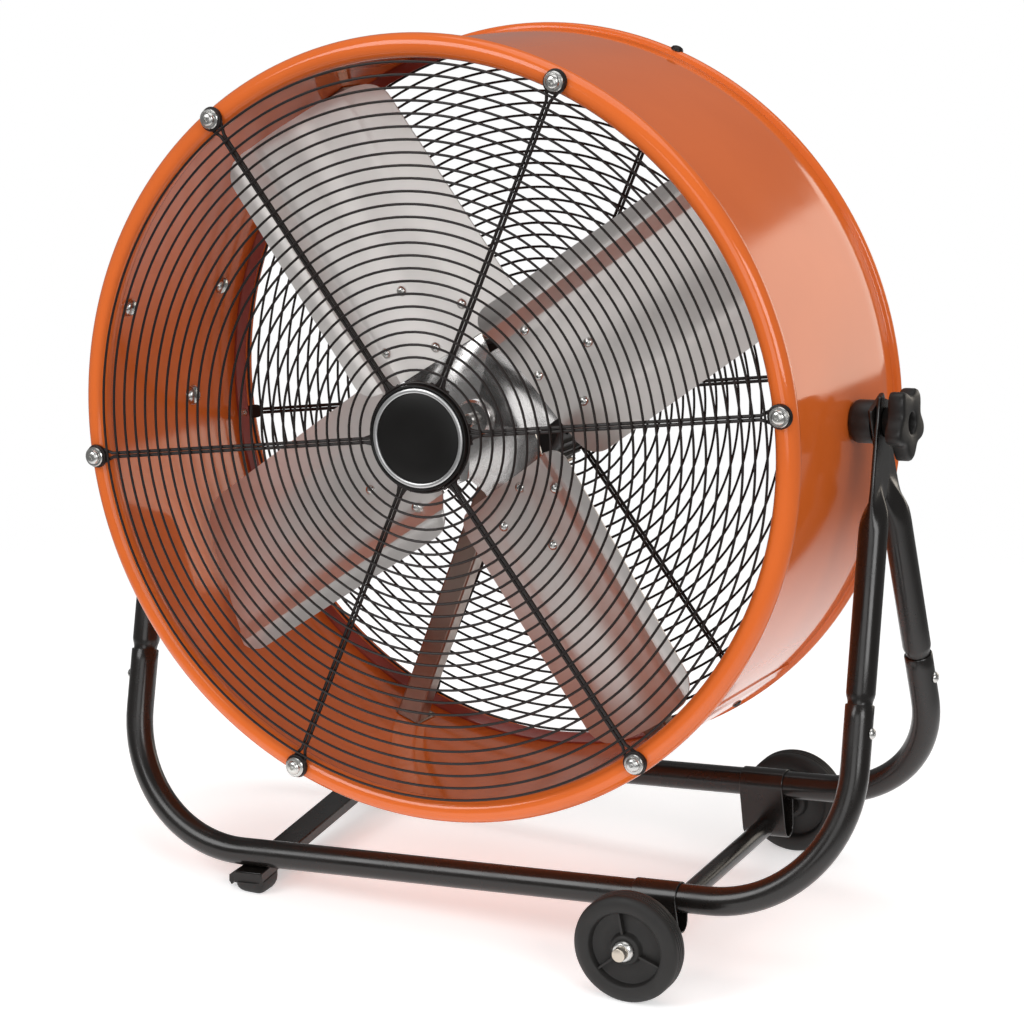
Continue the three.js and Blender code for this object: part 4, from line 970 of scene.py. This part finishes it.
dial.join(slab([(-5, -15.5), (-4, -16), (4, -16), (5, -15.5), (4.2, 0), (5, 15), (3.5, 16), (-3.5, 16), (-5, 15), (-4.2, 0)], 11.4).moved(Matrix.Translation((0, 4.0, 0))))
dial.join(slab([(-0.7, 5.0), (0.7, 5.0), (0.7, 15.2), (-0.7, 15.2)], 0.35).moved(Matrix.Translation((0, 15.3, 0))))
bevel(piece("speed_dial_knob", dial.moved(Matrix.Translation((0, SB1, 6))), MD, "speed_dial", PLASTIC, "switch_knob", sharp=40), 0.7, 2)

# ---------------------------------------------------------------- camera, floor, light
az, el, roll = RAD(27.09), RAD(14.26), RAD(-4.07)
back = Vector((math.sin(az) * math.cos(el), -math.cos(az) * math.cos(el), math.sin(el)))
fwd = -back
right = fwd.cross(Vector((0, 0, 1))).normalized()
up = right.cross(fwd)
r2 = right * math.cos(roll) + up * math.sin(roll)
u2 = -right * math.sin(roll) + up * math.cos(roll)
cam_data = bpy.data.cameras.new("camera")
cam = bpy.data.objects.new("camera", cam_data)
bpy.context.scene.collection.objects.link(cam)
eye = Vector((-1.9, 0, -96.2)) + back * 3057.7
local = Matrix(((r2.x, u2.x, back.x, eye.x), (r2.y, u2.y, back.y, eye.y), (r2.z, u2.z, back.z, eye.z), (0, 0, 0, 1)))
w = MS @ local
w.translation = w.translation * 0.001
cam.matrix_world = w
cam_data.sensor_width, cam_data.lens = 36.0, 120.34
cam_data.clip_start, cam_data.clip_end = 0.05, 60
bpy.context.scene.camera = cam

floor_mat = material("pale_floor", (0.92, 0.92, 0.92), 0.7, vary=0.006, grain=0.01, grain_scale=200, rough_vary=0.02, spec=0.15)
# the floor fades into the plain backdrop away from the object
nt = floor_mat.node_tree
fb = next(n for n in nt.nodes if n.type == "BSDF_PRINCIPLED")
fb.inputs["Emission Color"].default_value = (1, 1, 1, 1)
fb.inputs["Emission Strength"].default_value = 0.42
out = next(n for n in nt.nodes if n.type == "OUTPUT_MATERIAL")
surf = out.inputs[0].links[0].from_socket
tc = next(n for n in nt.nodes if n.type == "TEX_COORD")
ln_ = nt.nodes.new("ShaderNodeVectorMath")
ln_.operation = "LENGTH"
nt.links.new(tc.outputs["Object"], ln_.inputs[0])
fade = nt.nodes.new("ShaderNodeMapRange")
fade.interpolation_type = "SMOOTHSTEP"
fade.inputs["From Min"].default_value, fade.inputs["From Max"].default_value = 0.45, 1.20
nt.links.new(ln_.outputs["Value"], fade.inputs["Value"])
clear = nt.nodes.new("ShaderNodeBsdfTransparent")
mixs = nt.nodes.new("ShaderNodeMixShader")
nt.links.new(fade.outputs[0], mixs.inputs[0])
nt.links.new(surf, mixs.inputs[1])
nt.links.new(clear.outputs[0], mixs.inputs[2])
nt.links.new(mixs.outputs[0], out.inputs[0])
me = bpy.data.meshes.new("floor")
R = 1.4
me.from_pydata([(-R, -R, 0), (R, -R, 0), (R, R, 0), (-R, R, 0)], [], [(0, 1, 2, 3)])
me.materials.append(floor_mat)
floor = bpy.data.objects.new("floor", me)
bpy.context.scene.collection.objects.link(floor)


def area(name, loc, look, size, power, size_y=None, colour=(1, 1, 1)):
    d = bpy.data.lights.new(name, "AREA")
    d.energy, d.size, d.color = power, size, colour
    if size_y:
        d.shape, d.size_y = "RECTANGLE", size_y
    o = bpy.data.objects.new(name, d)
    bpy.context.scene.collection.objects.link(o)
    o.location = loc
    o.rotation_mode = "QUATERNION"
    o.rotation_quaternion = (Vector(look) - Vector(loc)).to_track_quat("-Z", "Y")
    return o


area("key", (-1.6, -2.6, 2.4), (0, 0, 0.45), 1.8, 48)
area("front", (0.75, -3.9, 1.2), (0, 0, 0.5), 2.2, 24)
area("side", (2.9, -2.2, 1.9), (0, 0, 0.45), 1.6, 44, 1.6)
area("back_panel", (1.30, 2.6, 0.74), (1.30, 0, 0.74), 1.8, 11.0, 1.12, colour=(1.0, 0.91, 0.78))
area("top", (0.3, 0.2, 3.2), (0, 0, 0), 2.6, 30)

# plain white behind the object, a dimmer white room all round it
world = bpy.data.worlds.new("studio")
bpy.context.scene.world = world
world.use_nodes = True
wt = world.node_tree
bg = wt.nodes["Background"]
bg.inputs[0].default_value = (1.0, 1.0, 1.0, 1)
lp = wt.nodes.new("ShaderNodeLightPath")
mr = wt.nodes.new("ShaderNodeMapRange")
mr.inputs["To Min"].default_value, mr.inputs["To Max"].default_value = 0.42, 1.0
wt.links.new(lp.outputs["Is Camera Ray"], mr.inputs["Value"])
gl_ = wt.nodes.new("ShaderNodeMath")
gl_.operation = "MULTIPLY_ADD"
gl_.inputs[1].default_value = -0.20
wt.links.new(lp.outputs["Is Glossy Ray"], gl_.inputs[0])
wt.links.new(mr.outputs[0], gl_.inputs[2])
wt.links.new(gl_.outputs[0], bg.inputs[1])
bpy.context.scene.view_settings.view_transform = "Standard"
